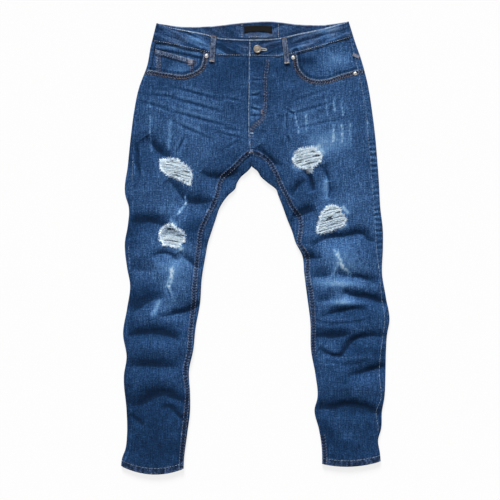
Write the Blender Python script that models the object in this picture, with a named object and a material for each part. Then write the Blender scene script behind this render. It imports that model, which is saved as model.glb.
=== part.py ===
"""Ripped five-pocket jeans, laid flat on their back on a table.

Z = 0 is the table, +Y runs to the waist, +X to the wearer's left. Sizes below are in
millimetres. The top of the garment is one height field, top_height(); every piece that lies
on top is cut from the same grid of points and moved out or in by its place in the layers.
"""

import math

import bmesh
import bpy
import numpy as np
from mathutils.geometry import tessellate_polygon

MM = 0.001

# ---------------------------------------------------------------- driving sizes
CLOTH = 1.2            # denim
HEM_CLOTH = 2.6        # turned and stitched hem
HEM_DEPTH = 16.0
BAND_CLOTH = 2.4       # waistband, two layers and interlining
BAND_PROUD = 0.3       # the band stands this far out of the panel it is sewn to
BAND_FOLD_TOP = 6.0    # above this height the band follows the garment's top
BAND_EASE = 0.1        # added to the band's gap, as its normals lean
SEAM = 0.3             # gap between pieces
LAYER = CLOTH + SEAM   # one layer of cloth and its gap
EDGE_RADIUS = 4.0      # half width of the rounded fold at a leg's edge
SEAT_LIFT = 1.8        # the seat lies on the back pockets and belt loops
SEAT_RISES = (200.0, 240.0)   # y from where the seat leaves the table to its full lift

FRONT_X = -12.0        # edge of the fly, wearer's left over right
CENTRE_X = -7.0        # crotch and centre back seam
CROTCH_Y = 218.0       # the four panels meet here
APEX_Y = 187.0         # fold between the legs
FLY_END_Y = 262.0      # the fly's underlap ends here
FLY_UNDERLAP = 12.0
BAND_UNDERLAP = 37.0
WAIST_Y = 482.0        # waistband seam at the side
YOKE_Y = 440.0         # yoke seam at the side
YOKE_DIP = 28.0        # how far the yoke seam falls at the centre back
YOKE_DIP_FROM = 300.0  # the seat's rows begin to follow the yoke seam here
HALF_WAIST = 235.0
HEM_REACH = 120.0      # rows follow the hem's curve over this height
FLY_EASE = 25.0        # the fly's underlap narrows and sinks over this height
UNDERLAP_GAP = 2.0     # widens the column beside the underlap's edge
HIGH, DEEP = 60.0, -20.0   # cutters reach from below the garment to above it

# Outline of each leg: y, x of the edge, seam's distance inside the edge.
OUTLINE = {
    "right": {
        "outer": [
            (520, -223, 6), (482, -236, 6), (424, -247, 6), (369, -266, 6), (314, -277, 6),
            (259, -284, 8), (190, -291, 12), (121, -297, 17), (93, -289, 10), (52, -291, 8),
            (10, -298, 10), (-45, -293, 8), (-86, -286, 6), (-141, -293, 6), (-197, -302, 6),
            (-252, -294, 6), (-293, -300, 7), (-376, -294, 10), (-431, -293, 9),
            (-466, -297, 8), (-486, -304, 7), (-530, -307, 7),
        ],
        "inner": [
            (218, -7, 5), (208, -7, 18), (190, -7, 35), (187, -7, 38), (176, -15, 42),
            (162, -31, 42), (148, -40, 40), (134, -45, 38), (121, -59, 27), (93, -79, 19),
            (65, -89, 23), (38, -98, 25), (10, -107, 20), (-17, -112, 18), (-72, -121, 15),
            (-128, -125, 15), (-183, -135, 11), (-238, -141, 9), (-280, -150, 9),
            (-335, -148, 6), (-376, -148, 9), (-431, -155, 8), (-486, -162, 6),
            (-530, -163, 6),
        ],
    },
    "left": {
        "outer": [
            (520, 217, 8), (482, 228, 9), (424, 247, 14), (369, 261, 16), (314, 270, 15),
            (259, 277, 17), (203, 282, 17), (148, 286, 17), (93, 289, 15), (38, 295, 18),
            (-3, 295, 16), (-59, 293, 7), (-114, 302, 11), (-169, 310, 12), (-197, 305, 10),
            (-238, 302, 13), (-293, 301, 15), (-348, 298, 9), (-376, 293, 14),
            (-417, 291, 8), (-445, 284, 6), (-473, 288, 7), (-530, 292, 7),
        ],
        "inner": [
            (218, -7, 3), (213, -7, 20), (206, -7, 31), (199, -7, 39), (187, -7, 47),
            (176, 6, 41), (162, 15, 38), (148, 31, 28), (134, 49, 17), (121, 54, 19),
            (93, 65, 22), (65, 75, 31), (38, 86, 20), (10, 95, 8), (-17, 109, 11),
            (-59, 114, 8), (-114, 121, 10), (-169, 128, 7), (-238, 130, 6), (-293, 140, 6),
            (-348, 144, 6), (-371, 138, 6), (-417, 148, 6), (-445, 153, 6), (-530, 155, 6),
        ],
    },
}
SIDE = {"right": -1.0, "left": 1.0}

# Waistband edges, lying on top and underneath: x, lower edge, upper edge.
BAND_FRONT = [
    (-236, 472, 515), (-206, 467, 507), (-148, 455, 496), (-110, 446, 489), (-88, 440, 482),
    (-45, 438, 478), (36, 437, 478), (60, 437, 481), (95, 444, 489), (155, 461, 501),
    (228, 482, 519),
]
BAND_BACK = [
    (-236, 472, 515), (-171, 468, 507), (-102, 470, 508), (-15, 479, 517), (36, 480, 519),
    (104, 473, 512), (162, 472, 511), (228, 482, 519),
]
BAND_TAPER = 0.047     # how much narrower the band's top edge is at the side

# Hems: nominal y, sag of the middle, tilt of the outer end.
HEM = {
    "right": (-505.0, 16.0, 3.0),
    "left": (-494.0, 9.0, 3.0),
}

# Rows of points down a leg: from, to, number of steps.
HIP_ROWS = [(482, 440, 2), (440, 236, 8)]
CROTCH_ROWS = [222, 218, 213, 203, 195, 187, 178, 168, 157, 144]
LEG_ROWS = 30
COLUMN_SEAM = 13.0     # narrow columns beside the inner seam
COLUMN_FELL = 22.0
FRONT_COLUMNS = 6      # even columns from there to the outseam
SEAT_COLUMNS = [0.0, 0.42, 0.78, 1.0]
FOLD_TURNS = (60, 120)  # degrees round a rounded fold, from its top, where its points lie

# Height of the top: y, crown of the leg, drop towards its edges.
CROWN = [
    (530, 9.0, 2.4), (482, 9.4, 2.6), (400, 11.0, 4.0), (300, 11.0, 4.2), (200, 10.6, 4.2),
    (100, 10.6, 4.4), (0, 11.6, 5.0), (-100, 12.0, 5.4), (-300, 11.4, 5.0),
    (-450, 9.0, 2.8), (-505, 7.8, 1.0), (-530, 7.6, 0.8),
]
EDGE_REACH = 15.0
FLOOR = 3.2            # the top never lies lower over the legs
CLOSURE_RISE = 2.2     # the waistband's overlap lifts the front
CLOSURE_REACH = 42.0
BUTTON_AT = (6.4, 454.7)

# Creases: the line of the valley, with its steep slope on the left of travel; width of that
# slope, depth.
CREASES = {
    "thigh_right_side": ([(-250, 256), (-242, 244), (-231, 231), (-217, 219), (-203, 210),
                          (-190, 207)], 15, 8.0),
    "thigh_right_patch": ([(-268, 262), (-252, 256), (-238, 250)], 10, 1.6),
    "crotch_right": ([(-124, 174), (-108, 165), (-92, 161), (-70, 161), (-52, 166), (-31, 178)],
                     12, 8.0),
    "below_crotch_right": ([(-200, 158), (-183, 138), (-170, 119), (-160, 107), (-144, 102),
                            (-125, 101), (-109, 102), (-95, 110)], 19, 10.0),
    "above_knee_right": ([(-284, 58), (-263, 59), (-240, 60), (-220, 55), (-204, 49),
                          (-190, 42)], 18, 9.0),
    "knee_right": ([(-236, -20), (-222, -15), (-206, -13), (-192, -16), (-180, -24), (-170, -29)],
                   9, 6.0),
    "knee_right_low": ([(-172, -8), (-160, -24), (-148, -33), (-135, -43), (-122, -48)],
                       12, 7.0),
    "knee_right_side": ([(-284, -47), (-263, -52), (-240, -53), (-224, -47)], 24, 4.5),
    "shin_right_soft": ([(-284, -144), (-268, -141), (-252, -130), (-236, -120), (-217, -115),
                         (-199, -112)], 30, 6.5),
    "shin_right_sharp": ([(-222, -155), (-199, -155), (-176, -152), (-153, -147), (-135, -139),
                          (-118, -128)], 14, 9.0),
    "shin_right_broad": ([(-291, -200), (-263, -199), (-236, -197), (-210, -198), (-190, -204),
                          (-169, -212)], 17, 9.5),
    "calf_right_flat": ([(-296, -272), (-263, -272), (-229, -273), (-199, -273), (-172, -272)],
                        17, 7.0),
    "calf_right_arch": ([(-286, -362), (-263, -360), (-245, -351), (-229, -342), (-210, -338),
                         (-190, -342), (-169, -351), (-153, -362)], 18, 8.0),
    "ankle_right_arc": ([(-215, -369), (-203, -366), (-192, -369), (-183, -378), (-171, -389),
                         (-162, -397)], 8, 6.0),
    "ankle_right_side": ([(-288, -382), (-272, -395), (-254, -408)], 8, 4.0),
    "crotch_left": ([(6, 233), (17, 220), (31, 206), (47, 194), (63, 187)], 9, 5.5),
    "thigh_left_slit": ([(121, 180), (128, 155), (137, 130)], 6.0, 9.0),
    "thigh_left_spot": ([(156, 192), (165, 170), (171, 152)], 7, 6.0),
    "thigh_left_fold": ([(171, 152), (170, 132), (167, 112)], 9, 3.5),
    "thigh_left_fork": ([(84, 118), (100, 139), (118, 157)], 10, 5.0),
    "inner_left_upper": ([(86, 76), (102, 73), (116, 78), (128, 82), (143, 86)], 18, 10.5),
    "knee_left": ([(130, 1), (144, 10), (160, 20), (178, 23), (199, 25), (220, 29), (238, 33),
                   (250, 31), (256, 22), (266, 15), (284, 14)], 12, 8.5),
    "inner_left_knee": ([(108, -20), (122, -24), (138, -24), (155, -23)], 13, 7.5),
    "knee_left_soft": ([(130, -68), (146, -67), (164, -66), (181, -63)], 20, 4.5),
    "shin_left_upper": ([(183, -58), (201, -62), (222, -66), (245, -69), (266, -75), (284, -84)],
                        11, 7.0),
    "shin_left_dark": ([(199, -103), (220, -109), (243, -114), (266, -118), (289, -123),
                        (305, -127)], 12, 10.0),
    "inner_left_soft": ([(141, -123), (162, -120), (188, -116)], 14, 5.0),
    "shin_left_light": ([(151, -160), (171, -152), (192, -147), (215, -143), (238, -141),
                         (261, -141)], 10, 6.5),
    "shin_left_thin": ([(139, -167), (164, -172), (197, -173), (229, -171), (261, -164)],
                       4, 1.8),
    "shin_left_broad": ([(134, -203), (155, -205), (178, -205), (199, -203), (222, -196)],
                        17, 9.0),
    "hook_left_outer": ([(199, -247), (210, -233), (222, -220), (236, -210), (254, -204),
                         (277, -201), (302, -204)], 11, 8.0),
    "hook_left_inner": ([(148, -233), (162, -243), (180, -251), (201, -254)], 8, 7.0),
    "hook_left_faint": ([(164, -259), (190, -267), (220, -268), (247, -263), (268, -255)],
                        8, 2.5),
    "calf_left": ([(213, -293), (238, -289), (266, -282), (289, -275), (303, -272)], 12, 7.5),
    "ankle_left_sharp": ([(138, -370), (169, -369), (197, -366), (220, -364), (238, -366),
                          (256, -371), (273, -377), (291, -382)], 13, 9.5),
}
PROFILE = 1.6          # 1 makes a valley as sharp as a knife's edge, 2 a round one
RISE_REACH = 1.8       # the rise beyond a valley, against the width of its steep slope
TAPER = 0.6            # the smaller, the further a crease keeps its depth

# Soft bulges: x, y, reach along x, reach along y, rise.
BULGES = {
    "knee_right": (-165, -50, 46, 40, 4.0),
    "shin_right": (-205, -155, 60, 22, 2.0),
    "calf_right": (-222, -225, 70, 20, 3.0),
    "ankle_right": (-222, -296, 60, 20, 2.0),
    "thigh_right": (-170, 60, 60, 30, 2.0),
    "knee_left": (205, -20, 56, 30, 5.0),
    "shin_left": (200, -82, 50, 14, 3.5),
    "shin_left_low": (215, -128, 50, 10, 3.5),
    "calf_left": (225, -255, 60, 16, 3.0),
    "above_ankle_left": (222, -318, 64, 24, 4.5),
    "ankle_left": (225, -395, 55, 18, 3.0),
    "thigh_left": (225, 100, 55, 50, 2.0),
}

# Front pocket mouths, from the waistband round to the outseam.
POCKET_MOUTH = {
    "right": [
        (-117, 436), (-121, 419), (-131, 407), (-148, 399), (-166, 395), (-190, 398),
        (-215, 402), (-236, 406), (-252, 406),
    ],
    "left": [
        (97, 435), (101, 415), (109, 401), (124, 389), (146, 384), (168, 386), (190, 394),
        (215, 401), (232, 406), (250, 408),
    ],
}
OUTSIDE = (300.0, 520.0)  # a corner of the pocket's cutter, clear of the panel
FACING_ROWS = 6
FACING_COLUMNS = 4
COIN_POCKET = [(-228, 455), (-139, 430), (-145, 384), (-226, 384)]

# Holes worn through the front panels.
RIPS = {
    "thigh_right": ("right", [
        (-214, 200), (-190, 202), (-171, 195), (-153, 182), (-145, 164), (-149, 145),
        (-167, 154), (-187, 164), (-206, 173), (-215, 188),
    ]),
    "knee_right": ("right", [
        (-214, 40), (-199, 51), (-190, 53), (-175, 39), (-162, 28), (-165, 15), (-175, 2),
        (-197, 6), (-212, 15),
    ]),
    "thigh_left": ("left", [
        (91, 207), (103, 223), (130, 229), (142, 221), (153, 210), (146, 196), (130, 174),
        (114, 184), (95, 191),
    ]),
    "knee_left": ("left", [
        (146, 37), (149, 56), (156, 78), (164, 90), (185, 94), (199, 79), (208, 63),
        (194, 48), (167, 37),
    ]),
}
RIP_THREAD = 0.6

# Belt loops: x and y of the top, x and y of the bottom.
FRONT_LOOPS = {
    "belt_loop_front_right": (-93, 487, -98, 424),
    "belt_loop_front_left": (68, 481.5, 75, 420),
}
LOOP_WIDTH = 12.6
LOOP_CLOTH = 1.6
LOOP_STEPS = 10
# Along a loop: fraction of its length, clearance above the top of the garment.
LOOP_RISE = [(0.0, 1.0), (0.12, 1.2), (0.35, 2.6), (0.6, 2.6), (0.8, 1.4), (0.9, 0.8), (1.0, 0.6)]
BACK_LOOPS = {
    "belt_loop_back_right": (-150, 507, -150, 452),
    "belt_loop_back_centre": (-7, 516, -7, 458),
    "belt_loop_back_left": (140, 510, 140, 452),
}
BACK_POCKET = [(-68, 75), (68, 75), (62, -52), (0, -78), (-62, -52)]
BACK_POCKET_AT = {"back_pocket_right": (-112, 335, -3), "back_pocket_left": (100, 335, 3)}
LABEL = (8.2, 500.0, 64.2, 16.6, 0.6)   # x, y, width, height, thickness

# Turned hardware: radius and height pairs, from the axis underneath to the axis on top.
BUTTON_PROFILE = [
    (0.0, -7.3), (4.5, -7.3), (4.5, -6.3), (2.2, -6.1), (2.2, 0.4), (8.2, 0.5), (9.0, 1.2),
    (8.8, 2.3), (7.6, 3.1), (6.2, 3.0), (4.5, 2.6), (0.0, 2.5),
]
RIVET_PROFILE = [(0.0, 0.0), (4.5, 0.0), (4.5, 0.6), (3.4, 1.3), (1.8, 1.6), (0.0, 1.7)]
RIVETS_AT = {
    "rivet_right_inner": (-110, 439),
    "rivet_left_inner": (88.5, 435.5),
    "rivet_left_outer": (231, 399),
}
RIVET_CLEARANCE = 0.45
TURN_STEPS = 18
SHANK_HOLE = 2.7       # radius of the hole and half width of the slot for the shank
BUTTONHOLE_END_X = 25.0
BUTTONHOLE_END_HALF = 2.0
BUTTONHOLE_FALL = 1.6  # the buttonhole slants down towards its end
BAND_CUT = 9.0         # how far its cutters reach beyond the band's own layer
BUTTON_CLEARANCE = 0.3

MATERIALS = {
    # name: sRGB colour, roughness, metallic
    "denim": ((50, 82, 120), 0.9, 0.0),
    "denim_dark": ((38, 62, 96), 0.9, 0.0),
    "denim_reverse": ((88, 112, 142), 0.9, 0.0),
    "worn_weft": ((176, 190, 202), 0.95, 0.0),
    "label_weave": ((22, 22, 24), 0.85, 0.0),
    "antique_nickel": ((150, 143, 130), 0.45, 1.0),
    "bright_nickel": ((205, 207, 210), 0.3, 1.0),
}


# ---------------------------------------------------------------- shape of the garment
def smooth(table, column, position):
    """A column of a table, whose first column is the position, as a smooth curve."""
    rows = np.array(sorted(table), dtype=float)
    places = rows[:, 0]
    values = rows[:, column]
    slopes = np.gradient(values, places)
    at = np.clip(position, places[0], places[-1])
    i = np.clip(np.searchsorted(places, at) - 1, 0, len(places) - 2)
    step = places[i + 1] - places[i]
    s = (at - places[i]) / step
    start = values[i] * (1 + 2 * s) * (1 - s) ** 2 + slopes[i] * step * s * (1 - s) ** 2
    end = values[i + 1] * s * s * (3 - 2 * s) + slopes[i + 1] * step * s * s * (s - 1)
    return start + end


def ramp(value, low, high):
    """0 below low, 1 above high, smooth between."""
    s = np.clip((value - low) / (high - low), 0.0, 1.0)
    return s * s * (3 - 2 * s)


def outer_edge(leg, y):
    return smooth(OUTLINE[leg]["outer"], 1, y)


def inner_edge(leg, y):
    return smooth(OUTLINE[leg]["inner"], 1, np.minimum(y, APEX_Y))


def left_of(line, x, y):
    """Distance to a line, positive on the left of travel, and the share of its length there."""
    nearest = np.full(x.shape, np.inf)
    signed = np.zeros(x.shape)
    share = np.zeros(x.shape)
    for i, ((ax, ay), (bx, by)) in enumerate(zip(line, line[1:])):
        run_x, run_y = bx - ax, by - ay
        t = np.clip(((x - ax) * run_x + (y - ay) * run_y) / (run_x ** 2 + run_y ** 2), 0, 1)
        off_x, off_y = x - ax - t * run_x, y - ay - t * run_y
        gap = np.hypot(off_x, off_y)
        closer = gap < nearest
        nearest = np.where(closer, gap, nearest)
        signed = np.where(closer, np.where(run_x * off_y > run_y * off_x, gap, -gap), signed)
        share = np.where(closer, (i + t) / (len(line) - 1), share)
    return signed, share


def creases_height(x, y):
    height = np.zeros_like(x)
    for line, steep, depth in CREASES.values():
        across, share = left_of(line, x, y)
        width = np.where(across > 0, steep, RISE_REACH * steep)
        taper = np.sin(math.pi * share) ** TAPER
        height -= depth * taper * np.exp(-((np.abs(across) / width) ** PROFILE))
    for bx, by, reach_x, reach_y, rise in BULGES.values():
        height += rise * np.exp(-(((x - bx) / reach_x) ** 2) - ((y - by) / reach_y) ** 2)
    return height


def leg_top(leg, x, y):
    side = SIDE[leg]
    crown = smooth(CROWN, 1, y)
    drop = smooth(CROWN, 2, y)
    from_outer = np.maximum(side * (outer_edge(leg, y) - x), 0)
    across = np.maximum(side * (x - inner_edge(leg, y)), 0)
    from_inner = np.hypot(across, np.maximum(y - APEX_Y, 0))
    return crown - drop * (np.exp(-from_outer / EDGE_REACH) + np.exp(-from_inner / EDGE_REACH))


def top_height(x, y):
    """Height of the garment's top, where the outermost layer's outer face lies."""
    x = np.asarray(x, dtype=float)
    y = np.asarray(y, dtype=float)
    height = np.where(x < CENTRE_X, leg_top("right", x, y), leg_top("left", x, y))
    height = height + creases_height(x, y)
    near = ((x - BUTTON_AT[0]) ** 2 + (y - BUTTON_AT[1]) ** 2) / CLOSURE_REACH ** 2
    height = height + CLOSURE_RISE * np.exp(-near)
    return FLOOR + np.logaddexp(0, (height - FLOOR) * 1.5) / 1.5


def top_normal(x, y):
    step = 2.0
    slope_x = (top_height(x + step, y) - top_height(x - step, y)) / (2 * step)
    slope_y = (top_height(x, y + step) - top_height(x, y - step)) / (2 * step)
    normal = np.array([-slope_x, -slope_y, 1.0])
    return normal / np.linalg.norm(normal)


def row_stations(leg):
    """Nominal y of each row of points, from the waistband seam to the hem."""
    rows = []
    for start, end, steps in HIP_ROWS:
        rows += [start + (end - start) * i / steps for i in range(steps)]
    rows += [HIP_ROWS[-1][1]] + CROTCH_ROWS
    fold_line = HEM[leg][0] + HEM_DEPTH
    first = CROTCH_ROWS[-1]
    rows += [first + (fold_line - first) * (i + 1) / LEG_ROWS for i in range(LEG_ROWS)]
    return rows + [fold_line - 1.0, HEM[leg][0]]


def cloth_at(leg, row_y):
    """Thickness of the cloth at a row: the hem is turned up."""
    return HEM_CLOTH if row_y < HEM[leg][0] + HEM_DEPTH - 0.5 else CLOTH


def bent(leg, row_y, x, band_edge):
    """A row's real y at x: rows follow the waistband at the top and the hem at the bottom."""
    waist = np.clip((row_y - CROTCH_Y) / (WAIST_Y - CROTCH_Y), 0, 1)
    sag = (smooth(band_edge, 1, x) - WAIST_Y) * waist
    if band_edge is BAND_BACK:
        yoke = 1 - np.clip(abs(row_y - YOKE_Y) / (WAIST_Y - YOKE_Y), 0, 1)
        below = np.clip((row_y - YOKE_DIP_FROM) / (YOKE_Y - YOKE_DIP_FROM), 0, 1)
        yoke = below if row_y < YOKE_Y else yoke
        sag = sag - YOKE_DIP * yoke * (1 - abs(x - CENTRE_X) / HALF_WAIST)
    nominal, hem_sag, tilt = HEM[leg]
    near_hem = ramp(row_y, nominal + HEM_REACH, nominal)
    inner = inner_edge(leg, row_y)
    across = np.clip((x - inner) / (outer_edge(leg, row_y) - inner), 0, 1)
    hem = -4 * hem_sag * across * (1 - across) + tilt * (2 * across - 1)
    return row_y + sag + hem * near_hem


def inner_seam_x(leg, row_y):
    """The front panel's inner boundary: the fly's edge, then the inseam."""
    if row_y > CROTCH_Y + 0.5:
        return FRONT_X
    side = SIDE[leg]
    table = OUTLINE[leg]["inner"]
    return inner_edge(leg, row_y) + side * smooth(table, 2, row_y)


def outer_seam_x(leg, row_y):
    return outer_edge(leg, row_y) - SIDE[leg] * smooth(OUTLINE[leg]["outer"], 2, row_y)


def seam_push(leg, curve, row_y):
    """A step of half the seam gap, square to a seam, towards the outer edge of the leg."""
    step = 3.0
    run = curve(leg, row_y + step) - curve(leg, row_y - step)
    length = math.hypot(run, 2 * step)
    side = SIDE[leg]
    return np.array([side * 2 * step / length, -side * run / length]) * SEAM / 2


# ---------------------------------------------------------------- grids of points
def front_grid(leg):
    """Points and normals of a front panel: a row per station, columns from the inner seam out."""
    side = SIDE[leg]
    rows = row_stations(leg)
    points = []
    normals = []
    for number, row_y in enumerate(rows):
        inner = inner_seam_x(leg, row_y)
        outer = outer_seam_x(leg, row_y)
        push = seam_push(leg, inner_seam_x, row_y)
        if row_y > CROTCH_Y + 0.5:
            push = np.array([side * SEAM / 2, 0.0])
        first = inner
        drop = 0.0
        if leg == "right":
            lap = ramp(row_y, FLY_END_Y, FLY_END_Y + FLY_EASE)
            first = inner + FLY_UNDERLAP * lap
            push = push * (1 - lap)
            drop = LAYER * ramp(row_y, FLY_END_Y - FLY_EASE, FLY_END_Y)
        near = first + side * (COLUMN_SEAM + (UNDERLAP_GAP if first != inner else 0.0))
        even = inner + side * COLUMN_FELL
        xs = [first, near] + [even + (outer - even) * i / FRONT_COLUMNS
                              for i in range(FRONT_COLUMNS + 1)]
        row_points = []
        row_normals = []
        for column, x in enumerate(xs):
            y = bent(leg, row_y, x, BAND_FRONT)
            if column == 0:
                x = x + push[0]
                y = y + push[1]
            if column == len(xs) - 1:
                away = seam_push(leg, outer_seam_x, row_y)
                x = x - away[0]
                y = y - away[1]
            if number == 0:
                y = y - SEAM / 2
            z = float(top_height(x, y))
            if column < 2:
                z = z - drop
            row_points.append((x, y, z))
            row_normals.append(top_normal(x, y))
        points.append(row_points)
        normals.append(row_normals)
    return rows, np.array(points), np.array(normals)


def edge_arc(edge_x, side, y, low, high, turn):
    """A point and normal on the rounded fold; turn 0 is its top and 180 degrees its foot."""
    s = math.sin(math.radians(turn))
    c = math.cos(math.radians(turn))
    half = (high - low) / 2
    point = (edge_x - side * EDGE_RADIUS * (1 - s), y, (high + low) / 2 + half * c)
    normal = np.array([side * half * s, 0.0, EDGE_RADIUS * c])
    return point, normal / np.linalg.norm(normal)


def back_rows(leg):
    """Points of the back of a leg, a dictionary for each row, keyed by column name order."""
    side = SIDE[leg]
    rows = row_stations(leg)
    grid = []
    for number, row_y in enumerate(rows):
        cells = {}
        inner = inner_edge(leg, row_y)
        outer = outer_edge(leg, row_y)
        lift = SEAT_LIFT * ramp(row_y, *SEAT_RISES)
        centre = CENTRE_X + side * SEAM / 2
        open_leg = row_y <= APEX_Y + 0.5
        if open_leg and row_y > APEX_Y - 0.5:
            inner = inner + side * SEAM / 2
        if row_y < CROTCH_Y + 0.5:
            push = seam_push(leg, inner_seam_x, row_y)
            x = inner_seam_x(leg, row_y) - push[0]
            y = bent(leg, row_y, x, BAND_FRONT) - push[1]
            cells[0] = ((x, y, float(top_height(x, y))), top_normal(x, y))
            x = inner + side * EDGE_RADIUS if open_leg else centre
            y = bent(leg, row_y, x, BAND_FRONT)
            cells[1] = ((x, y, float(top_height(x, y))), top_normal(x, y))
        if open_leg:
            y = bent(leg, row_y, inner, BAND_FRONT)
            high = float(top_height(inner + side * EDGE_RADIUS, y))
            for column, turn in zip((2, 3), FOLD_TURNS):
                cells[column] = edge_arc(inner, -side, y, 0.0, high, turn)
        start = inner + side * EDGE_RADIUS if open_leg else centre
        end = outer - side * EDGE_RADIUS
        for column, share in enumerate(SEAT_COLUMNS):
            x = start + (end - start) * share
            y = bent(leg, row_y, x, BAND_BACK)
            z = lift if column < len(SEAT_COLUMNS) - 1 else 0.0
            cells[4 + column] = ((x, y, z), np.array([0.0, 0.0, -1.0]))
        last = 4 + len(SEAT_COLUMNS)
        y = bent(leg, row_y, outer, BAND_BACK)
        high = float(top_height(end, y))
        for step, turn in enumerate(reversed(FOLD_TURNS)):
            cells[last + step] = edge_arc(outer, side, y, 0.0, high, turn)
        cells[last + 2] = ((end, y, high), top_normal(end, y))
        away = seam_push(leg, outer_seam_x, row_y)
        x = outer_seam_x(leg, row_y) + away[0]
        y = bent(leg, row_y, x, BAND_FRONT) + away[1]
        cells[last + 3] = ((x, y, float(top_height(x, y))), top_normal(x, y))
        if number == 0:
            cells = {k: ((p[0], p[1] - SEAM / 2, p[2]), n) for k, (p, n) in cells.items()}
        grid.append(cells)
    return rows, grid


# ---------------------------------------------------------------- turning points into solids
def material(name):
    found = bpy.data.materials.get(name)
    if found:
        return found
    colour, roughness, metallic = MATERIALS[name]
    made = bpy.data.materials.new(name)
    made.use_nodes = True
    shader = made.node_tree.nodes["Principled BSDF"]
    linear = [((c / 255 + 0.055) / 1.055) ** 2.4 if c > 10 else c / 3294.6 for c in colour]
    shader.inputs["Base Color"].default_value = (*linear, 1.0)
    shader.inputs["Roughness"].default_value = roughness
    shader.inputs["Metallic"].default_value = metallic
    return made


def link(name, mesh, material_name, smooth_shading=True):
    obj = bpy.data.objects.new(name, mesh)
    bpy.context.scene.collection.objects.link(obj)
    mesh.materials.append(material(material_name))
    if smooth_shading:
        mesh.shade_smooth()
        mesh.set_sharp_from_angle(angle=math.radians(40))
    return obj


def solid_from_sheet(name, outer, inner, faces, material_name):
    """Closes a sheet of faces into a solid, with a second sheet inside and a rim."""
    mesh = bmesh.new()
    top = {key: mesh.verts.new(np.array(p) * MM) for key, p in outer.items()}
    low = {key: mesh.verts.new(np.array(p) * MM) for key, p in inner.items()}
    counted = {}
    for face in faces:
        mesh.faces.new([top[k] for k in face])
        mesh.faces.new([low[k] for k in reversed(face)])
        for a, b in zip(face, face[1:] + face[:1]):
            counted[(a, b)] = counted.get((a, b), 0) + 1
    for a, b in counted:
        if (b, a) not in counted:
            mesh.faces.new([top[b], top[a], low[a], low[b]])
    bmesh.ops.recalc_face_normals(mesh, faces=mesh.faces)
    bmesh.ops.triangulate(mesh, faces=mesh.faces, quad_method="FIXED")
    data = bpy.data.meshes.new(name)
    mesh.to_mesh(data)
    mesh.free()
    return link(name, data, material_name)


def quads(keys, rows, columns, flip):
    """Faces between neighbouring rows and columns, where all four points exist."""
    faces = []
    for r in rows:
        for c in columns:
            face = [(r, c), (r, c + 1), (r + 1, c + 1), (r + 1, c)]
            if all(k in keys for k in face):
                faces.append(face[::-1] if flip else face)
    return faces


def layer_from_grid(name, points, normals, rows, columns, out, thickness, material_name):
    """A sheet of cloth made from a panel's own points, moved out by a distance."""
    outer = {}
    inner = {}
    for r in range(rows[0], rows[-1] + 2):
        for c in range(columns[0], columns[-1] + 2):
            normal = normals[r, c]
            thick = thickness[r] if isinstance(thickness, list) else thickness
            outer[(r, c)] = points[r, c] + out * normal
            inner[(r, c)] = points[r, c] + (out - thick) * normal
    faces = quads(outer, rows, columns, False)
    return solid_from_sheet(name, outer, inner, faces, material_name)


def prism(name, outline, low, high):
    """A cutter: an upright prism over an outline."""
    mesh = bmesh.new()
    floor = [mesh.verts.new((x * MM, y * MM, low * MM)) for x, y in outline]
    face = mesh.faces.new(floor)
    lifted = bmesh.ops.extrude_face_region(mesh, geom=[face])["geom"]
    up = [v for v in lifted if isinstance(v, bmesh.types.BMVert)]
    bmesh.ops.translate(mesh, verts=up, vec=(0, 0, (high - low) * MM))
    bmesh.ops.recalc_face_normals(mesh, faces=mesh.faces)
    data = bpy.data.meshes.new(name)
    mesh.to_mesh(data)
    mesh.free()
    obj = bpy.data.objects.new(name, data)
    bpy.context.scene.collection.objects.link(obj)
    obj.hide_render = True
    obj.display_type = "WIRE"
    return obj


def cut(obj, cutter, operation="DIFFERENCE"):
    modifier = obj.modifiers.new(cutter.name, "BOOLEAN")
    modifier.operation = operation
    modifier.solver = "MANIFOLD"
    modifier.object = cutter


def inset(outline, distance):
    """The outline moved inwards, square to its edges."""
    points = np.array(outline, dtype=float)
    following = np.roll(points, -1, axis=0)
    before = points - np.roll(points, 1, axis=0)
    after = following - points
    area = np.sum(points[:, 0] * following[:, 1] - following[:, 0] * points[:, 1])
    turn = 1.0 if area > 0 else -1.0
    moved = []
    for point, a, b in zip(points, before, after):
        na = np.array([-a[1], a[0]]) / np.linalg.norm(a)
        nb = np.array([-b[1], b[0]]) / np.linalg.norm(b)
        middle = (na + nb) / np.linalg.norm(na + nb)
        moved.append(point + turn * middle * distance / max(middle @ na, 0.3))
    return [tuple(p) for p in moved]


def turned(name, profile, location, material_name, normal=(0, 0, 1)):
    """Hardware turned about its own axis, which points along the normal."""
    mesh = bmesh.new()
    verts = [mesh.verts.new((r * MM, 0, z * MM)) for r, z in profile]
    edges = [mesh.edges.new(pair) for pair in zip(verts, verts[1:])]
    bmesh.ops.spin(mesh, geom=verts + edges, angle=math.tau, steps=TURN_STEPS,
                   axis=(0, 0, 1), cent=(0, 0, 0), use_merge=True)
    bmesh.ops.remove_doubles(mesh, verts=mesh.verts, dist=1e-6)
    bmesh.ops.recalc_face_normals(mesh, faces=mesh.faces)
    data = bpy.data.meshes.new(name)
    mesh.to_mesh(data)
    mesh.free()
    obj = link(name, data, material_name)
    obj.location = [v * MM for v in location]
    pitch = math.atan2(-normal[1], normal[2])
    roll = math.atan2(normal[0], normal[2])
    obj.rotation_euler = (pitch, roll, 0)
    return obj


# ---------------------------------------------------------------- the pieces
def make_rip_threads(rip, edge):
    """The bare threads that still cross a hole, as one thin sheet from edge to edge."""
    outer = {i: (x, y, float(top_height(x, y)) - SEAM) for i, (x, y) in enumerate(edge)}
    inner = {i: (x, y, z - RIP_THREAD) for i, (x, y, z) in outer.items()}
    faces = [list(face) for face in tessellate_polygon([[(x, y, 0) for x, y in edge]])]
    solid_from_sheet(f"rip_threads_{rip}", outer, inner, faces, "worn_weft")


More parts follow.
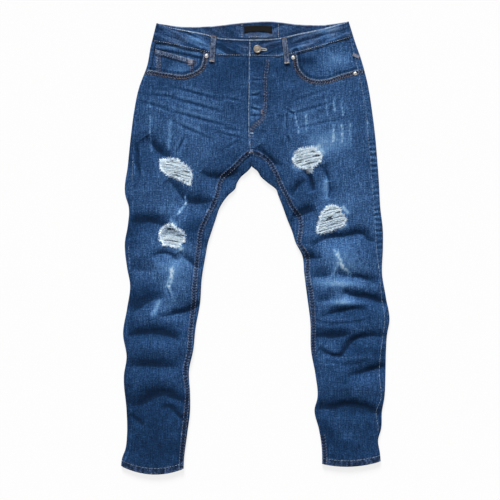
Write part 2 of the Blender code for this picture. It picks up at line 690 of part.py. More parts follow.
def make_fronts(grids):
    """The front panels, with the pocket mouth and the rips cut out, and their facings."""
    for leg, (rows, points, normals) in grids.items():
        thickness = [cloth_at(leg, y) for y in rows]
        all_rows = range(len(rows) - 1)
        columns = range(points.shape[1] - 1)
        panel = layer_from_grid(f"front_{leg}", points, normals, all_rows, columns, 0.0,
                                thickness, "denim")
        side = SIDE[leg]
        mouth = POCKET_MOUTH[leg]
        out, up = side * OUTSIDE[0], OUTSIDE[1]
        corner = [(out, mouth[-1][1]), (out, up), (mouth[0][0], up)]
        cut(panel, prism(f"cut_pocket_{leg}", mouth + corner, DEEP, HIGH))
        last = points.shape[1] - 2
        facing_columns = range(last - FACING_COLUMNS + 1, last + 1)
        depth = LAYER * (2 if leg == "right" else 1)
        layer_from_grid(f"pocket_facing_{leg}", points, normals, range(FACING_ROWS),
                        facing_columns, -depth, CLOTH, "denim")
        if leg == "right":
            coin = layer_from_grid("coin_pocket", points, normals, range(FACING_ROWS),
                                   facing_columns, -LAYER, CLOTH, "denim")
            cut(coin, prism("cut_coin", COIN_POCKET, DEEP, HIGH), "INTERSECT")
        for rip, (rip_leg, outline) in RIPS.items():
            if rip_leg == leg:
                cut(panel, prism(f"cut_rip_{rip}", outline, DEEP, HIGH))
                make_rip_threads(rip, inset(outline, SEAM))


def make_backs(leg, rows, grid):
    """The back panel and the yoke of one leg, which share a seam."""
    yoke_row = rows.index(YOKE_Y)
    spans = {
        f"yoke_{leg}": (0, yoke_row),
        f"back_{leg}": (yoke_row, len(rows) - 1),
    }
    for name, (first, last) in spans.items():
        outer = {}
        inner = {}
        for r in range(first, last + 1):
            shift = 0.0
            if r == yoke_row:
                shift = SEAM / 2 if name.startswith("yoke") else -SEAM / 2
            for c, (point, normal) in grid[r].items():
                moved = np.array(point) + (0, shift, 0)
                outer[(r, c)] = moved
                inner[(r, c)] = moved - cloth_at(leg, rows[r]) * normal
        faces = quads(outer, range(first, last), range(max(grid[last])), False)
        solid_from_sheet(name, outer, inner, faces, "denim_dark" if "yoke" in name else "denim")


def band_stations(grids, backs):
    """Round the waist: points on the band's lower edge, the normal, and whether on top."""
    stations = []
    left = grids["left"][1][0]
    left_normals = grids["left"][2][0]
    for c in range(left.shape[0]):
        stations.append((left[c], left_normals[c], "front"))
    back_left = backs["left"][1][0]
    for c in sorted(back_left, reverse=True):
        point, normal = back_left[c]
        stations.append((np.array(point), normal, "front" if c > 8 else "back"))
    back_right = backs["right"][1][0]
    for c in sorted(back_right):
        if c > 4:
            point, normal = back_right[c]
            stations.append((np.array(point), normal, "front" if c > 8 else "back"))
    right = grids["right"][1][0]
    right_normals = grids["right"][2][0]
    for c in range(right.shape[0] - 1, 1, -1):
        stations.append((right[c], right_normals[c], "front"))
    for x in (FRONT_X - 3.0, BUTTON_AT[0], FRONT_X + BAND_UNDERLAP):
        y = float(smooth(BAND_FRONT, 1, x)) - SEAM / 2
        z = float(top_height(x, y)) - BAND_CLOTH - SEAM
        stations.append((np.array([x, y, z]), top_normal(x, y), "under"))
    return stations


def band_upper(lower, kind):
    """The point of the band's upper edge over a point of its lower edge."""
    reach = (lower[0] - CENTRE_X) / HALF_WAIST
    x = CENTRE_X + (lower[0] - CENTRE_X) * (1 - BAND_TAPER * reach ** 2)
    y = float(smooth(BAND_BACK if kind == "back" else BAND_FRONT, 2, lower[0]))
    z = lower[2]
    if kind != "back" and lower[2] > BAND_FOLD_TOP:
        z = lower[2] + float(top_height(x, y)) - float(top_height(lower[0], lower[1]))
    return np.array([x, y, z])


def make_waistband(grids, backs):
    """One strip all round, from the buttonhole end to the button end under it."""
    stations = band_stations(grids, backs)
    seen = stations[:1]
    for station in stations[1:]:
        step = station[0] - seen[-1][0]
        if np.linalg.norm(step[:2]) > 1.0 or abs(step[2]) > 0.5:
            seen.append(station)
    outer = {}
    inner = {}
    for i, (point, normal, kind) in enumerate(seen):
        upper = band_upper(point, kind)
        low = point + np.array([0, SEAM + BAND_EASE, 0])
        if kind == "back":
            low[2] = max(low[2], BAND_PROUD)
            upper[2] = low[2]
        outer[(i, 0)] = low + BAND_PROUD * normal
        outer[(i, 1)] = upper + BAND_PROUD * normal
        inner[(i, 0)] = low + (BAND_PROUD - BAND_CLOTH) * normal
        inner[(i, 1)] = upper + (BAND_PROUD - BAND_CLOTH) * normal
    faces = quads(outer, range(len(seen) - 1), range(1), True)
    band = solid_from_sheet("waistband", outer, inner, faces, "denim_dark")
    x, y = BUTTON_AT
    top = float(top_height(x, y)) + BAND_PROUD
    between = top - BAND_CLOTH - SEAM / 2
    circle = [(x + SHANK_HOLE * math.cos(t), y + SHANK_HOLE * math.sin(t))
              for t in np.linspace(0, math.tau, 13)[:-1]]
    cut(band, prism("cut_shank_hole", circle, top - BAND_CUT, between))
    end_y = y - BUTTONHOLE_FALL
    slot = [(x - SHANK_HOLE, y + SHANK_HOLE), (x - SHANK_HOLE, y - SHANK_HOLE),
            (BUTTONHOLE_END_X, end_y - BUTTONHOLE_END_HALF),
            (BUTTONHOLE_END_X, end_y + BUTTONHOLE_END_HALF)]
    cut(band, prism("cut_buttonhole", slot, between, top + BAND_CUT))
    turned("button", BUTTON_PROFILE, (x, y, top + BUTTON_CLEARANCE), "antique_nickel")


def make_front_loops():
    for name, (x0, y0, x1, y1) in FRONT_LOOPS.items():
        along = np.array([x1 - x0, y1 - y0], dtype=float)
        length = np.linalg.norm(along)
        across = np.array([-along[1], along[0]]) / length * LOOP_WIDTH / 2
        outer = {}
        inner = {}
        for i, share in enumerate(np.linspace(0, 1, LOOP_STEPS + 1)):
            clear = np.interp(share, [s for s, _ in LOOP_RISE], [r for _, r in LOOP_RISE])
            middle = np.array([x0, y0]) + along * share
            ground = float(top_height(*middle)) + clear
            for j, way in enumerate((-1, 1)):
                x, y = middle + way * across
                outer[(i, j)] = np.array([x, y, ground + LOOP_CLOTH])
                inner[(i, j)] = np.array([x, y, ground])
        faces = quads(outer, range(LOOP_STEPS), range(1), False)
        solid_from_sheet(name, outer, inner, faces, "denim_dark")


def slab(name, outline, low, high, material_name):
    """A flat piece with straight sides."""
    outer = {i: (x, y, high) for i, (x, y) in enumerate(outline)}
    inner = {i: (x, y, low) for i, (x, y) in enumerate(outline)}
    return solid_from_sheet(name, outer, inner, [list(range(len(outline)))], material_name)


def make_hidden_back():
    """The back pockets and belt loops, on which the seat lies."""
    for name, (x0, y0, x1, y1) in BACK_LOOPS.items():
        half = LOOP_WIDTH / 2
        outline = [(x1 - half, y1), (x1 + half, y1), (x0 + half, y0), (x0 - half, y0)]
        slab(name, outline, 0.0, CLOTH, "denim_dark")
    for name, (cx, cy, angle) in BACK_POCKET_AT.items():
        c = math.cos(math.radians(angle))
        s = math.sin(math.radians(angle))
        outline = [(cx + x * c - y * s, cy + x * s + y * c) for x, y in BACK_POCKET]
        slab(name, outline, 0.0, CLOTH, "denim")


def make_label():
    x, y, width, height, thickness = LABEL
    low = SEAT_LIFT - BAND_PROUD + BAND_CLOTH + SEAM
    outline = [(x - width / 2, y - height / 2), (x + width / 2, y - height / 2),
               (x + width / 2, y + height / 2), (x - width / 2, y + height / 2)]
    slab("label", outline, low, low + thickness, "label_weave")


def make_rivets():
    for name, (x, y) in RIVETS_AT.items():
        normal = top_normal(x, y)
        base = np.array([x, y, float(top_height(x, y))]) + RIVET_CLEARANCE * normal
        turned(name, RIVET_PROFILE, base, "bright_nickel", normal)


def centre_on_origin():
    """Moves everything so that the origin is under the middle of the garment."""
    bpy.context.view_layer.update()
    shown = [obj for obj in bpy.data.objects if not obj.hide_render]
    corners = np.array([obj.matrix_world @ vertex.co
                        for obj in shown for vertex in obj.data.vertices])
    middle = (corners.min(axis=0) + corners.max(axis=0)) / 2
    for obj in bpy.data.objects:
        obj.location.x -= middle[0]
        obj.location.y -= middle[1]


def main():
    for obj in list(bpy.data.objects):
        bpy.data.objects.remove(obj)
    grids = {leg: front_grid(leg) for leg in SIDE}
    backs = {leg: back_rows(leg) for leg in SIDE}
    make_fronts(grids)
    for leg, (rows, grid) in backs.items():
        make_backs(leg, rows, grid)
    make_waistband(grids, backs)
    make_front_loops()
    make_hidden_back()
    make_label()
    make_rivets()
    centre_on_origin()


main()
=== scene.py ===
"""Looks of a pair of ripped jeans, laid flat on their back on a pale floor.

The garment is built in its own plan: millimetres, +Y to the waist, +X to the wearer's left.
PLAN_SHIFT moves that plan onto the frame. Every piece that lies on top follows one height
field, top_height(), and takes its wash, with painted shade and highlight, from one map,
wash_and_shade_at().
"""

import math

import bpy
import numpy as np
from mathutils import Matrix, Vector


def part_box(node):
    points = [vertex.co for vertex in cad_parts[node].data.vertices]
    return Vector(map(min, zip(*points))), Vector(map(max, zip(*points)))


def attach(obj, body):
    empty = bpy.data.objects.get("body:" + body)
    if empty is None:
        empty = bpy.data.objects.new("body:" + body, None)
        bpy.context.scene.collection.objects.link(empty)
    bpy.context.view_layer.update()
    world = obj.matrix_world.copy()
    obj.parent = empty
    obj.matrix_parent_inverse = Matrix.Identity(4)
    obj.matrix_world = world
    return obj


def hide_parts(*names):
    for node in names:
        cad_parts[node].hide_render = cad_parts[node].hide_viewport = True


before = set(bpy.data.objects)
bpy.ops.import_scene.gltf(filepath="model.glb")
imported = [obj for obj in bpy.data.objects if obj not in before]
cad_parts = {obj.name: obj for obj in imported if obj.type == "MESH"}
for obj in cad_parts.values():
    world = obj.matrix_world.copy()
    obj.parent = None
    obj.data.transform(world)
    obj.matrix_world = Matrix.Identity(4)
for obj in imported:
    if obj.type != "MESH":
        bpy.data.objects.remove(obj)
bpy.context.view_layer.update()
MM = 0.001

# ---------------------------------------------------------------- cloth and seams
CLOTH = 1.1
HEM_DEPTH = 15.5
BAND_CLOTH = 2.4
BAND_PROUD = 0.5
LAYER = CLOTH + 0.4
EDGE_RADIUS = 4.0
SEAT_LIFT = 1.8
GRID = 2.1             # distance between the points of a panel
EDGE_STEPS = 9         # points round the fold at a leg's edge
FOLD_TURNS = np.linspace(0, 180, EDGE_STEPS + 1)[1:-1]

FRONT_X = -12.0
CENTRE_X = -7.0
CROTCH_Y = 218.0
APEX_Y = 187.0
FLY_END_Y = 262.0
FLY_UNDERLAP = 12.0
BAND_UNDERLAP = 37.0
WAIST_Y = 482.0
YOKE_Y = 440.0
YOKE_FOOT_Y = 300.0    # where the backs' rows begin to bend towards the yoke's dip
YOKE_DIP = 28.0
HALF_SEAT = 235.0
SIDE = {"right": -1.0, "left": 1.0}

# Each leg's edges: y, x of the edge, seam's distance inside the edge.
OUTER = {
    "right": [
        (520, -223, 6), (482, -236, 6), (424, -247, 6), (369, -266, 6), (314, -277, 6),
        (259, -284, 8), (190, -291, 12), (121, -297, 17), (93, -289, 10), (52, -291, 8),
        (10, -298, 10), (-45, -293, 8), (-86, -286, 6), (-141, -293, 6), (-197, -302, 6),
        (-252, -294, 6), (-293, -300, 7), (-376, -294, 10), (-431, -293, 9), (-466, -297, 8),
        (-486, -304, 7), (-530, -307, 7),
    ],
    "left": [
        (520, 217, 8), (482, 228, 9), (424, 247, 14), (369, 261, 16), (314, 270, 15),
        (259, 277, 17), (203, 282, 17), (148, 286, 17), (93, 289, 15), (38, 295, 18),
        (-3, 295, 16), (-59, 293, 7), (-114, 302, 11), (-169, 310, 12), (-197, 305, 10),
        (-238, 302, 13), (-293, 301, 15), (-348, 298, 9), (-376, 293, 14), (-417, 291, 8),
        (-445, 284, 6), (-473, 288, 7), (-530, 292, 7),
    ],
}
INNER = {
    "right": [
        (218, -7, 5), (208, -7, 18), (190, -7, 35), (187, -7, 38), (176, -15, 42), (162, -31, 42),
        (148, -40, 40), (134, -45, 38), (121, -59, 27), (93, -79, 19), (65, -89, 23),
        (38, -98, 25), (10, -107, 20), (-17, -112, 18), (-72, -121, 15), (-128, -125, 15),
        (-183, -135, 11), (-238, -141, 9), (-280, -150, 9), (-335, -148, 6), (-376, -148, 9),
        (-431, -155, 8), (-486, -162, 6), (-530, -163, 6),
    ],
    "left": [
        (218, -7, 3), (213, -7, 20), (206, -7, 31), (199, -7, 39), (187, -7, 47), (176, 6, 41),
        (162, 15, 38), (148, 31, 28), (134, 49, 17), (121, 54, 19), (93, 65, 22), (65, 75, 31),
        (38, 86, 20), (10, 95, 8), (-17, 109, 11), (-59, 114, 8), (-114, 121, 10), (-169, 128, 7),
        (-238, 130, 6), (-293, 140, 6), (-348, 144, 6), (-371, 138, 6), (-417, 148, 6),
        (-445, 153, 6), (-530, 155, 6),
    ],
}

# Waistband edges, lying on top and underneath: x, lower edge, upper edge.
BAND_FRONT = [
    (-236, 472, 515), (-206, 467, 507), (-148, 455, 496), (-110, 446, 489), (-88, 440, 482),
    (-45, 438, 478), (36, 437, 478), (60, 437, 481), (95, 444, 489), (155, 461, 501),
    (228, 482, 519),
]
BAND_BACK = [
    (-236, 472, 515), (-171, 468, 507), (-102, 470, 508), (-15, 479, 517), (36, 480, 519),
    (104, 473, 512), (162, 472, 511), (228, 482, 519),
]
BAND_TAPER = 0.047
# Hems: nominal y, sag in the middle, tilt.
HEM = {"right": (-505.0, 16.0, 3.0), "left": (-494.0, 9.0, 3.0)}
HEM_REACH = 120.0      # how far up the rows follow the hem

# ---------------------------------------------------------------- relief
# Height of the top: y, crown of the leg, drop towards its edges.
CROWN = [
    (530, 9, 2.4), (482, 9.4, 2.6), (400, 11, 4), (300, 11, 4.2), (200, 10.6, 4.2),
    (100, 10.6, 4.4), (0, 11.6, 5), (-100, 12, 5.4), (-300, 11.4, 5), (-450, 9, 2.8),
    (-505, 7.8, 1), (-530, 7.6, 0.8),
]
EDGE_REACH = 15.0
FLOOR = 3.2
FLOOR_SOFTNESS = 1.5
CLOSURE_RISE = 2.2
CLOSURE_REACH = 42.0
BUTTON_AT = (6.4, 454.7)

# Creases: width of the shaded slope, how sharply the shadow ends on the other side, depth, and
# the line of the valley, with the shaded slope on the left of travel.
CREASES = {
    "thigh_right_side": (15, 5, 8, [(-250, 256), (-242, 244), (-231, 231), (-217, 219),
        (-203, 210), (-190, 207)]),
    "thigh_right_patch": (10, 8, 1.6, [(-268, 262), (-252, 256), (-238, 250)]),
    "crotch_right": (12, 3, 8, [(-124, 174), (-108, 165), (-92, 161), (-70, 161), (-52, 166),
        (-31, 178)]),
    "below_crotch_right": (19, 4, 10, [(-200, 158), (-183, 138), (-170, 119), (-160, 107),
        (-144, 102), (-125, 101), (-109, 102), (-95, 110)]),
    "above_knee_right": (18, 5, 9, [(-284, 58), (-263, 59), (-240, 60), (-220, 55), (-204, 49),
        (-190, 42)]),
    "knee_right": (9, 4, 6, [(-236, -20), (-222, -15), (-206, -13), (-192, -16), (-180, -24),
        (-170, -29)]),
    "knee_right_low": (12, 4, 7, [(-172, -8), (-160, -24), (-148, -33), (-135, -43), (-122, -48)]),
    "knee_right_side": (24, 12, 4.5, [(-284, -47), (-263, -52), (-240, -53), (-224, -47)]),
    "shin_right_soft": (30, 8, 6.5, [(-284, -144), (-268, -141), (-252, -130), (-236, -120),
        (-217, -115), (-199, -112)]),
    "shin_right_sharp": (14, 3, 9, [(-222, -155), (-199, -155), (-176, -152), (-153, -147),
        (-135, -139), (-118, -128)]),
    "shin_right_broad": (17, 6, 9.5, [(-291, -200), (-263, -199), (-236, -197), (-210, -198),
        (-190, -204), (-169, -212)]),
    "calf_right_flat": (17, 6, 7, [(-296, -272), (-263, -272), (-229, -273), (-199, -273),
        (-172, -272)]),
    "calf_right_arch": (18, 6, 8, [(-286, -362), (-263, -360), (-245, -351), (-229, -342),
        (-210, -338), (-190, -342), (-169, -351), (-153, -362)]),
    "ankle_right_arc": (8, 4, 6, [(-215, -369), (-203, -366), (-192, -369), (-183, -378),
        (-171, -389), (-162, -397)]),
    "ankle_right_side": (8, 5, 4, [(-288, -382), (-272, -395), (-254, -408)]),
    "crotch_left": (9, 4, 5.5, [(6, 233), (17, 220), (31, 206), (47, 194), (63, 187)]),
    "thigh_left_slit": (6, 6, 9, [(121, 180), (128, 155), (137, 130)]),
    "thigh_left_spot": (7, 6, 6, [(156, 192), (165, 170), (171, 152)]),
    "thigh_left_fold": (9, 3, 3.5, [(171, 152), (170, 132), (167, 112)]),
    "thigh_left_fork": (10, 6, 5, [(84, 118), (100, 139), (118, 157)]),
    "inner_left_upper": (18, 5, 10.5, [(86, 76), (102, 73), (116, 78), (128, 82), (143, 86)]),
    "knee_left": (12, 4, 8.5, [(130, 1), (144, 10), (160, 20), (178, 23), (199, 25), (220, 29),
        (238, 33), (250, 31), (256, 22), (266, 15), (284, 14)]),
    "inner_left_knee": (13, 4, 7.5, [(108, -20), (122, -24), (138, -24), (155, -23)]),
    "knee_left_soft": (20, 5, 4.5, [(130, -68), (146, -67), (164, -66), (181, -63)]),
    "shin_left_upper": (11, 5, 7, [(183, -58), (201, -62), (222, -66), (245, -69), (266, -75),
        (284, -84)]),
    "shin_left_dark": (12, 4, 10, [(199, -103), (220, -109), (243, -114), (266, -118), (289, -123),
        (305, -127)]),
    "inner_left_soft": (14, 8, 5, [(141, -123), (162, -120), (188, -116)]),
    "shin_left_light": (10, 4, 6.5, [(151, -160), (171, -152), (192, -147), (215, -143),
        (238, -141), (261, -141)]),
    "shin_left_thin": (4, 3, 1.8, [(139, -167), (164, -172), (197, -173), (229, -171),
        (261, -164)]),
    "shin_left_broad": (17, 5, 9, [(134, -203), (155, -205), (178, -205), (199, -203),
        (222, -196)]),
    "hook_left_outer": (11, 4, 8.5, [(190, -254), (201, -247), (210, -234), (222, -220),
        (236, -210), (254, -204), (277, -201), (302, -204)]),
    "hook_left_inner": (8, 3, 7, [(146, -231), (160, -239), (176, -247), (192, -250),
        (206, -246)]),
    "hook_left_faint": (8, 5, 2.5, [(164, -259), (190, -267), (220, -268), (247, -263),
        (268, -255)]),
    "calf_left": (12, 4, 7.5, [(213, -293), (238, -289), (266, -282), (289, -275), (303, -272)]),
    "ankle_left_sharp": (13, 4, 9.5, [(138, -370), (169, -369), (197, -366), (220, -364),
        (238, -366), (256, -371), (273, -377), (291, -382)]),
}
PROFILE = 1.6          # 1 makes a valley as sharp as a knife's edge, 2 a round one
RISE_REACH = 1.8       # the rise beyond a valley, against the width of its shaded slope

# Soft bulges: x, y, reach along x, reach along y, rise.
BULGES = {
    "knee_right": (-165, -50, 46, 40, 4),
    "shin_right": (-205, -155, 60, 22, 2),
    "calf_right": (-222, -225, 70, 20, 3),
    "ankle_right": (-222, -296, 60, 20, 2),
    "thigh_right": (-170, 60, 60, 30, 2),
    "knee_left": (205, -20, 56, 30, 5),
    "shin_left": (200, -82, 50, 14, 3.5),
    "shin_left_low": (215, -128, 50, 10, 3.5),
    "calf_left": (225, -255, 60, 16, 3),
    "above_ankle_left": (222, -318, 64, 24, 4.5),
    "ankle_left": (225, -395, 55, 18, 3),
    "thigh_left": (225, 100, 55, 50, 2),
}

# Fine pleats worn into the hips and the waistband: x0, y0, x1, y1, width, depth.
WHISKERS = [
    (-196, 371, -77, 339, 4.5, 1.3), (-250, 352, -172, 346, 4.5, 1),
    (-204, 348, -57, 307, 5, 1.6), (-268, 338, -190, 316, 4.5, 1.2),
    (-210, 318, -47, 275, 5, 1.6), (-196, 294, -95, 247, 4.5, 1.3),
    (-177, 220, -160, 258, 4, 2.2), (-203, -84, -191, -120, 3.5, 2), (75, 316, 74, 262, 3.5, 2.2),
    (74, 262, 84, 238, 3.5, 2), (76, 316, 94, 305, 3.5, 2.2), (70, 330, 190, 372, 4.5, 0.6),
    (52, 296, 214, 346, 4.5, 0.8), (70, 268, 218, 300, 4, 0.7), (-36, 372, -20, 374, 3, 0.8),
    (-12, 386, 20, 384, 3, 0.9), (-12, 350, 22, 347, 3, 0.9), (-12, 319, 18, 317, 3, 0.8),
    (-30, 250, -70, 226, 4, 0.8), (-233, 455, -171, 446, 4, 1), (-171, 446, -118, 435, 4, 1),
    (-167, 500, -109, 473, 4, 2), (80, 466, 145, 484, 4.5, 2.4), (130, 482, 206, 500, 4.5, 2.2),
    (84, 460, 150, 478, 3.5, 1.4), (-215, 490, -160, 474, 4, 1.2), (-200, 505, -150, 489, 4, 1),
    (48, 340, 52, 298, 4, 0.9), (-33, 452, -15, 443, 3.5, 1.3), (-270, 240, -266, 200, 4, 1.2),
    (-266, 200, -261, 155, 4, 1.2), (-75, 346, -22, 335, 3.5, 0.9),
    (-80, 276, -22, 267, 3.5, 0.9), (-84, 264, -20, 251, 3.5, 0.9), (-10, 348, 17, 355, 3, 1.6),
    (-10, 323, 13, 314, 3, 1.8), (-12, 304, 17, 303, 3, 1.6),
]
# Unevenness of the cloth: rise, size along x, size along y, seed.
UNEVENNESS = [(0.7, 36, 26, 11), (0.4, 15, 10, 12), (0.14, 7, 5.5, 13)]

# ---------------------------------------------------------------- openings in the fronts
POCKET_MOUTH = {
    "right": [
        (-116, 450), (-118, 434), (-121, 419), (-131, 407), (-148, 399), (-166, 395), (-190, 398),
        (-215, 402), (-236, 406), (-262, 407),
    ],
    "left": [
        (95, 450), (98, 434), (101, 415), (109, 401), (124, 389), (146, 384), (168, 386),
        (190, 394), (215, 401), (232, 406), (262, 410),
    ],
}
FACING_DEPTH = 24.0    # how far a facing runs on under the front
FACING_DROP = {"right": 2.3, "left": 1.5}
FACING_CLOTH = 0.8
COIN_POCKET = [(-228, 455), (-139, 430), (-145, 384), (-226, 384)]
COIN_HEM = np.array(COIN_POCKET[:2], dtype=float)
COIN_DROP = 1.25
RIPS = {
    "thigh_right": ("right", [
        (-214, 200), (-201, 201), (-190, 202), (-178, 201), (-169, 194), (-160, 187), (-152, 182),
        (-147, 174), (-145, 164), (-148, 155), (-149, 145), (-158, 150), (-167, 154), (-176, 159),
        (-187, 164), (-199, 169), (-208, 174), (-213, 181), (-215, 191),
    ]),
    "knee_right": ("right", [
        (-214, 40), (-209, 46), (-199, 51), (-190, 53), (-183, 47), (-175, 39), (-167, 36),
        (-162, 28), (-163, 18), (-169, 10), (-175, 2), (-185, 3), (-197, 6), (-206, 7),
        (-212, 15), (-216, 26),
    ]),
    "thigh_left": ("left", [
        (91, 207), (95, 217), (105, 224), (116, 227), (130, 229), (137, 227), (146, 217),
        (153, 210), (150, 201), (144, 193), (133, 185), (130, 174), (123, 177), (114, 184),
        (102, 186), (95, 191), (91, 199),
    ]),
    "knee_left": ("left", [
        (146, 37), (147, 49), (151, 63), (156, 78), (164, 90), (174, 94), (185, 94), (193, 90),
        (199, 79), (204, 70), (208, 63), (205, 55), (194, 48), (181, 44), (167, 37), (153, 34),
    ]),
}
RAGGED = 1.9           # how unevenly the cloth has worn away round a rip

# ---------------------------------------------------------------- stitching and small pieces
FLY_STITCH = [(28, 428), (22.5, 387), (22.5, 337), (20, 311), (14, 294), (-3, 280.5), (-9, 272)]
ROW_GAP = 5.5          # between the two rows of a felled seam
# Belt loops: the top's x and y, the foot's x and y.
FRONT_LOOPS = {
    "belt_loop_front_right": (-93, 487, -98, 424),
    "belt_loop_front_left": (68, 481.5, 75, 420),
}
BACK_LOOPS = {
    "belt_loop_back_right": (-150, 507, -150, 452),
    "belt_loop_back_centre": (-7, 516, -7, 458),
    "belt_loop_back_left": (140, 510, 140, 452),
}
LOOP_WIDTH = 12.6
LOOP_CLOTH = 1.6
LOOP_SHARE = [0.0, 0.06, 0.35, 0.6, 0.8, 0.9, 1.0]
LOOP_RISE = [0.9, 1.0, 2.4, 2.4, 1.3, 0.8, 0.6]
BACK_POCKET = [(-68, 75), (68, 75), (62, -52), (0, -78), (-62, -52)]
BACK_POCKET_AT = {"back_pocket_right": (-112, 335, -3), "back_pocket_left": (100, 335, 3)}
LABEL = (8.2, 500.0, 64.2, 16.6, 0.6)
RIVETS_AT = {
    "rivet_right_inner": (-110, 439),
    "rivet_left_inner": (88.5, 435.5),
    "rivet_left_outer": (231, 399),
}


def plan_shift():
    """From the garment's plan to the frame: where one rivet is, less where the plan has it."""
    low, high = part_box("rivet_left_outer")
    x, y = RIVETS_AT["rivet_left_outer"]
    return np.array([(low.x + high.x) / 2 / MM - x, (low.y + high.y) / 2 / MM - y, 0.0])


PLAN_SHIFT = plan_shift()


# ---------------------------------------------------------------- curves and noise
def floats(*values):
    return [np.asarray(value, dtype=float) for value in values]


def joined(*coordinates):
    """Points from their coordinates."""
    return np.stack(np.broadcast_arrays(*coordinates), axis=-1)


def bell(*shares, power=2):
    """1 in the middle, falling smoothly away; a share is a distance against its reach."""
    return np.exp(-sum(np.abs(share) ** power for share in shares))


def ramp(value, low, high):
    s = np.clip((value - low) / (high - low), 0.0, 1.0)
    return s * s * (3 - 2 * s)


def turned(x, y, turn):
    """Points of the plan, turned about its origin by an angle in radians."""
    c, s = math.cos(turn), math.sin(turn)
    return x * c - y * s, x * s + y * c


def smooth(table, column, position):
    """A column of a table, whose first column is the position, as a smooth curve."""
    rows = np.array(sorted(table), dtype=float)
    places = rows[:, 0]
    values = rows[:, column]
    slopes = np.gradient(values, places)
    at = np.clip(position, places[0], places[-1])
    i = np.clip(np.searchsorted(places, at) - 1, 0, len(places) - 2)
    step = places[i + 1] - places[i]
    s = (at - places[i]) / step
    start = values[i] * (1 + 2 * s) * (1 - s) ** 2 + slopes[i] * step * s * (1 - s) ** 2
    end = values[i + 1] * s * s * (3 - 2 * s) + slopes[i + 1] * step * s * s * (s - 1)
    return start + end


def noise(x, y, cell_x, cell_y, seed):
    """Smooth value noise from -1 to 1, with its own cell size along each axis."""
    x, y = floats(x, y)
    u = x / cell_x + 500.0
    v = y / cell_y + 500.0
    iu = np.floor(u).astype(np.int64)
    iv = np.floor(v).astype(np.int64)
    fu = (u - iu) ** 2 * (3 - 2 * (u - iu))
    fv = (v - iv) ** 2 * (3 - 2 * (v - iv))

    def corner(a, b):
        h = (a * 374761393 + b * 668265263 + seed * 1442695041) & 0x7FFFFFFF
        h = ((h ^ (h >> 13)) * 1274126177) & 0x7FFFFFFF
        return ((h ^ (h >> 16)) & 0xFFFF) / 32767.5 - 1.0

    low = corner(iu, iv) * (1 - fu) + corner(iu + 1, iv) * fu
    high = corner(iu, iv + 1) * (1 - fu) + corner(iu + 1, iv + 1) * fu
    return low * (1 - fv) + high * fv


def ring_of(outline):
    """A closed outline with its first point again at its end."""
    return np.vstack([outline, outline[:1]])


def rounded(points, steps=6, closed=False):
    """A smooth line through given points."""
    pts = np.array(points, dtype=float)
    if closed:
        pts = np.vstack([pts[-1:], pts, pts[:2]])
    else:
        pts = np.vstack([2 * pts[0] - pts[1], pts, 2 * pts[-1] - pts[-2]])
    line = [0.5 * (2 * b + (c - a) * t + (2 * a - 5 * b + 4 * c - d) * t * t
                   + (3 * b - a - 3 * c + d) * t ** 3)
            for a, b, c, d in zip(pts, pts[1:], pts[2:], pts[3:])
            for t in (i / steps for i in range(steps))]
    return np.array(line if closed else line + [pts[-2]])


def lengths(line):
    return np.linalg.norm(np.diff(line, axis=0), axis=1)


def evenly(line, step):
    """A line's points, spaced evenly along it."""
    length = np.concatenate([[0], np.cumsum(lengths(line))])
    at = np.linspace(0, length[-1], max(2, int(round(length[-1] / step)) + 1))
    return joined(*(np.interp(at, length, column) for column in np.transpose(line)))


def beside(line, distance):
    """A line parallel to another, to its left."""
    run = np.gradient(line, axis=0)
    run /= np.linalg.norm(run, axis=1)[:, None]
    return line + joined(-run[:, 1], run[:, 0]) * distance


def in_reach(line, x, y, reach):
    """Whether each point lies within reach of a line's box."""
    low = line.min(axis=0) - reach
    high = line.max(axis=0) + reach
    return (x > low[0]) & (x < high[0]) & (y > low[1]) & (y < high[1])


def distance_to(line, x, y, reach=26.0):
    """Distance to a line, the share of its length there, and the nearest point of it.

    Points further from the line's box than its reach are left out, and get a large distance.
    """
    line, x, y = floats(line, x, y)
    close = in_reach(line, x, y, reach)
    best = np.full(x.shape, 1e6)
    share = np.zeros(x.shape)
    near = np.zeros(x.shape + (2,))
    px, py = x[close], y[close]
    d = np.full(px.shape, 1e6)
    t_at = np.zeros(px.shape)
    spot = np.zeros(px.shape + (2,))
    for i, (a, b) in enumerate(zip(line, line[1:]) if close.any() else ()):
        run = b - a
        t = np.clip(((px - a[0]) * run[0] + (py - a[1]) * run[1]) / max(run @ run, 1e-9), 0, 1)
        foot = joined(a[0] + t * run[0], a[1] + t * run[1])
        gap = np.hypot(px - foot[:, 0], py - foot[:, 1])
        closer = gap < d
        d[closer] = gap[closer]
        t_at[closer] = (i + t[closer]) / (len(line) - 1)
        spot[closer] = foot[closer]
    best[close], share[close], near[close] = d, t_at, spot
    return best, share, near


def inside(outline, x, y):
    """Whether each point lies inside a closed outline."""
    found = np.zeros(np.shape(x), dtype=bool)
    for a, b in zip(outline, np.roll(outline, -1, axis=0)):
        crosses = (a[1] > y) != (b[1] > y)
        rise = b[1] - a[1] if abs(b[1] - a[1]) > 1e-9 else 1e-9
        found ^= crosses & (x < (b[0] - a[0]) * (y - a[1]) / rise + a[0])
    return found


# ---------------------------------------------------------------- shape of the garment
def outer_edge(leg, y):
    return smooth(OUTER[leg], 1, y)


def inner_edge(leg, y):
    return smooth(INNER[leg], 1, np.minimum(y, APEX_Y))


def inner_seam_x(leg, row_y):
    """The front panel's inner boundary: the fly's edge, then the inseam."""
    inset = SIDE[leg] * smooth(INNER[leg], 2, row_y)
    return np.where(np.asarray(row_y) > CROTCH_Y + 0.5, FRONT_X, inner_edge(leg, row_y) + inset)


def outer_seam_x(leg, row_y):
    return outer_edge(leg, row_y) - SIDE[leg] * smooth(OUTER[leg], 2, row_y)


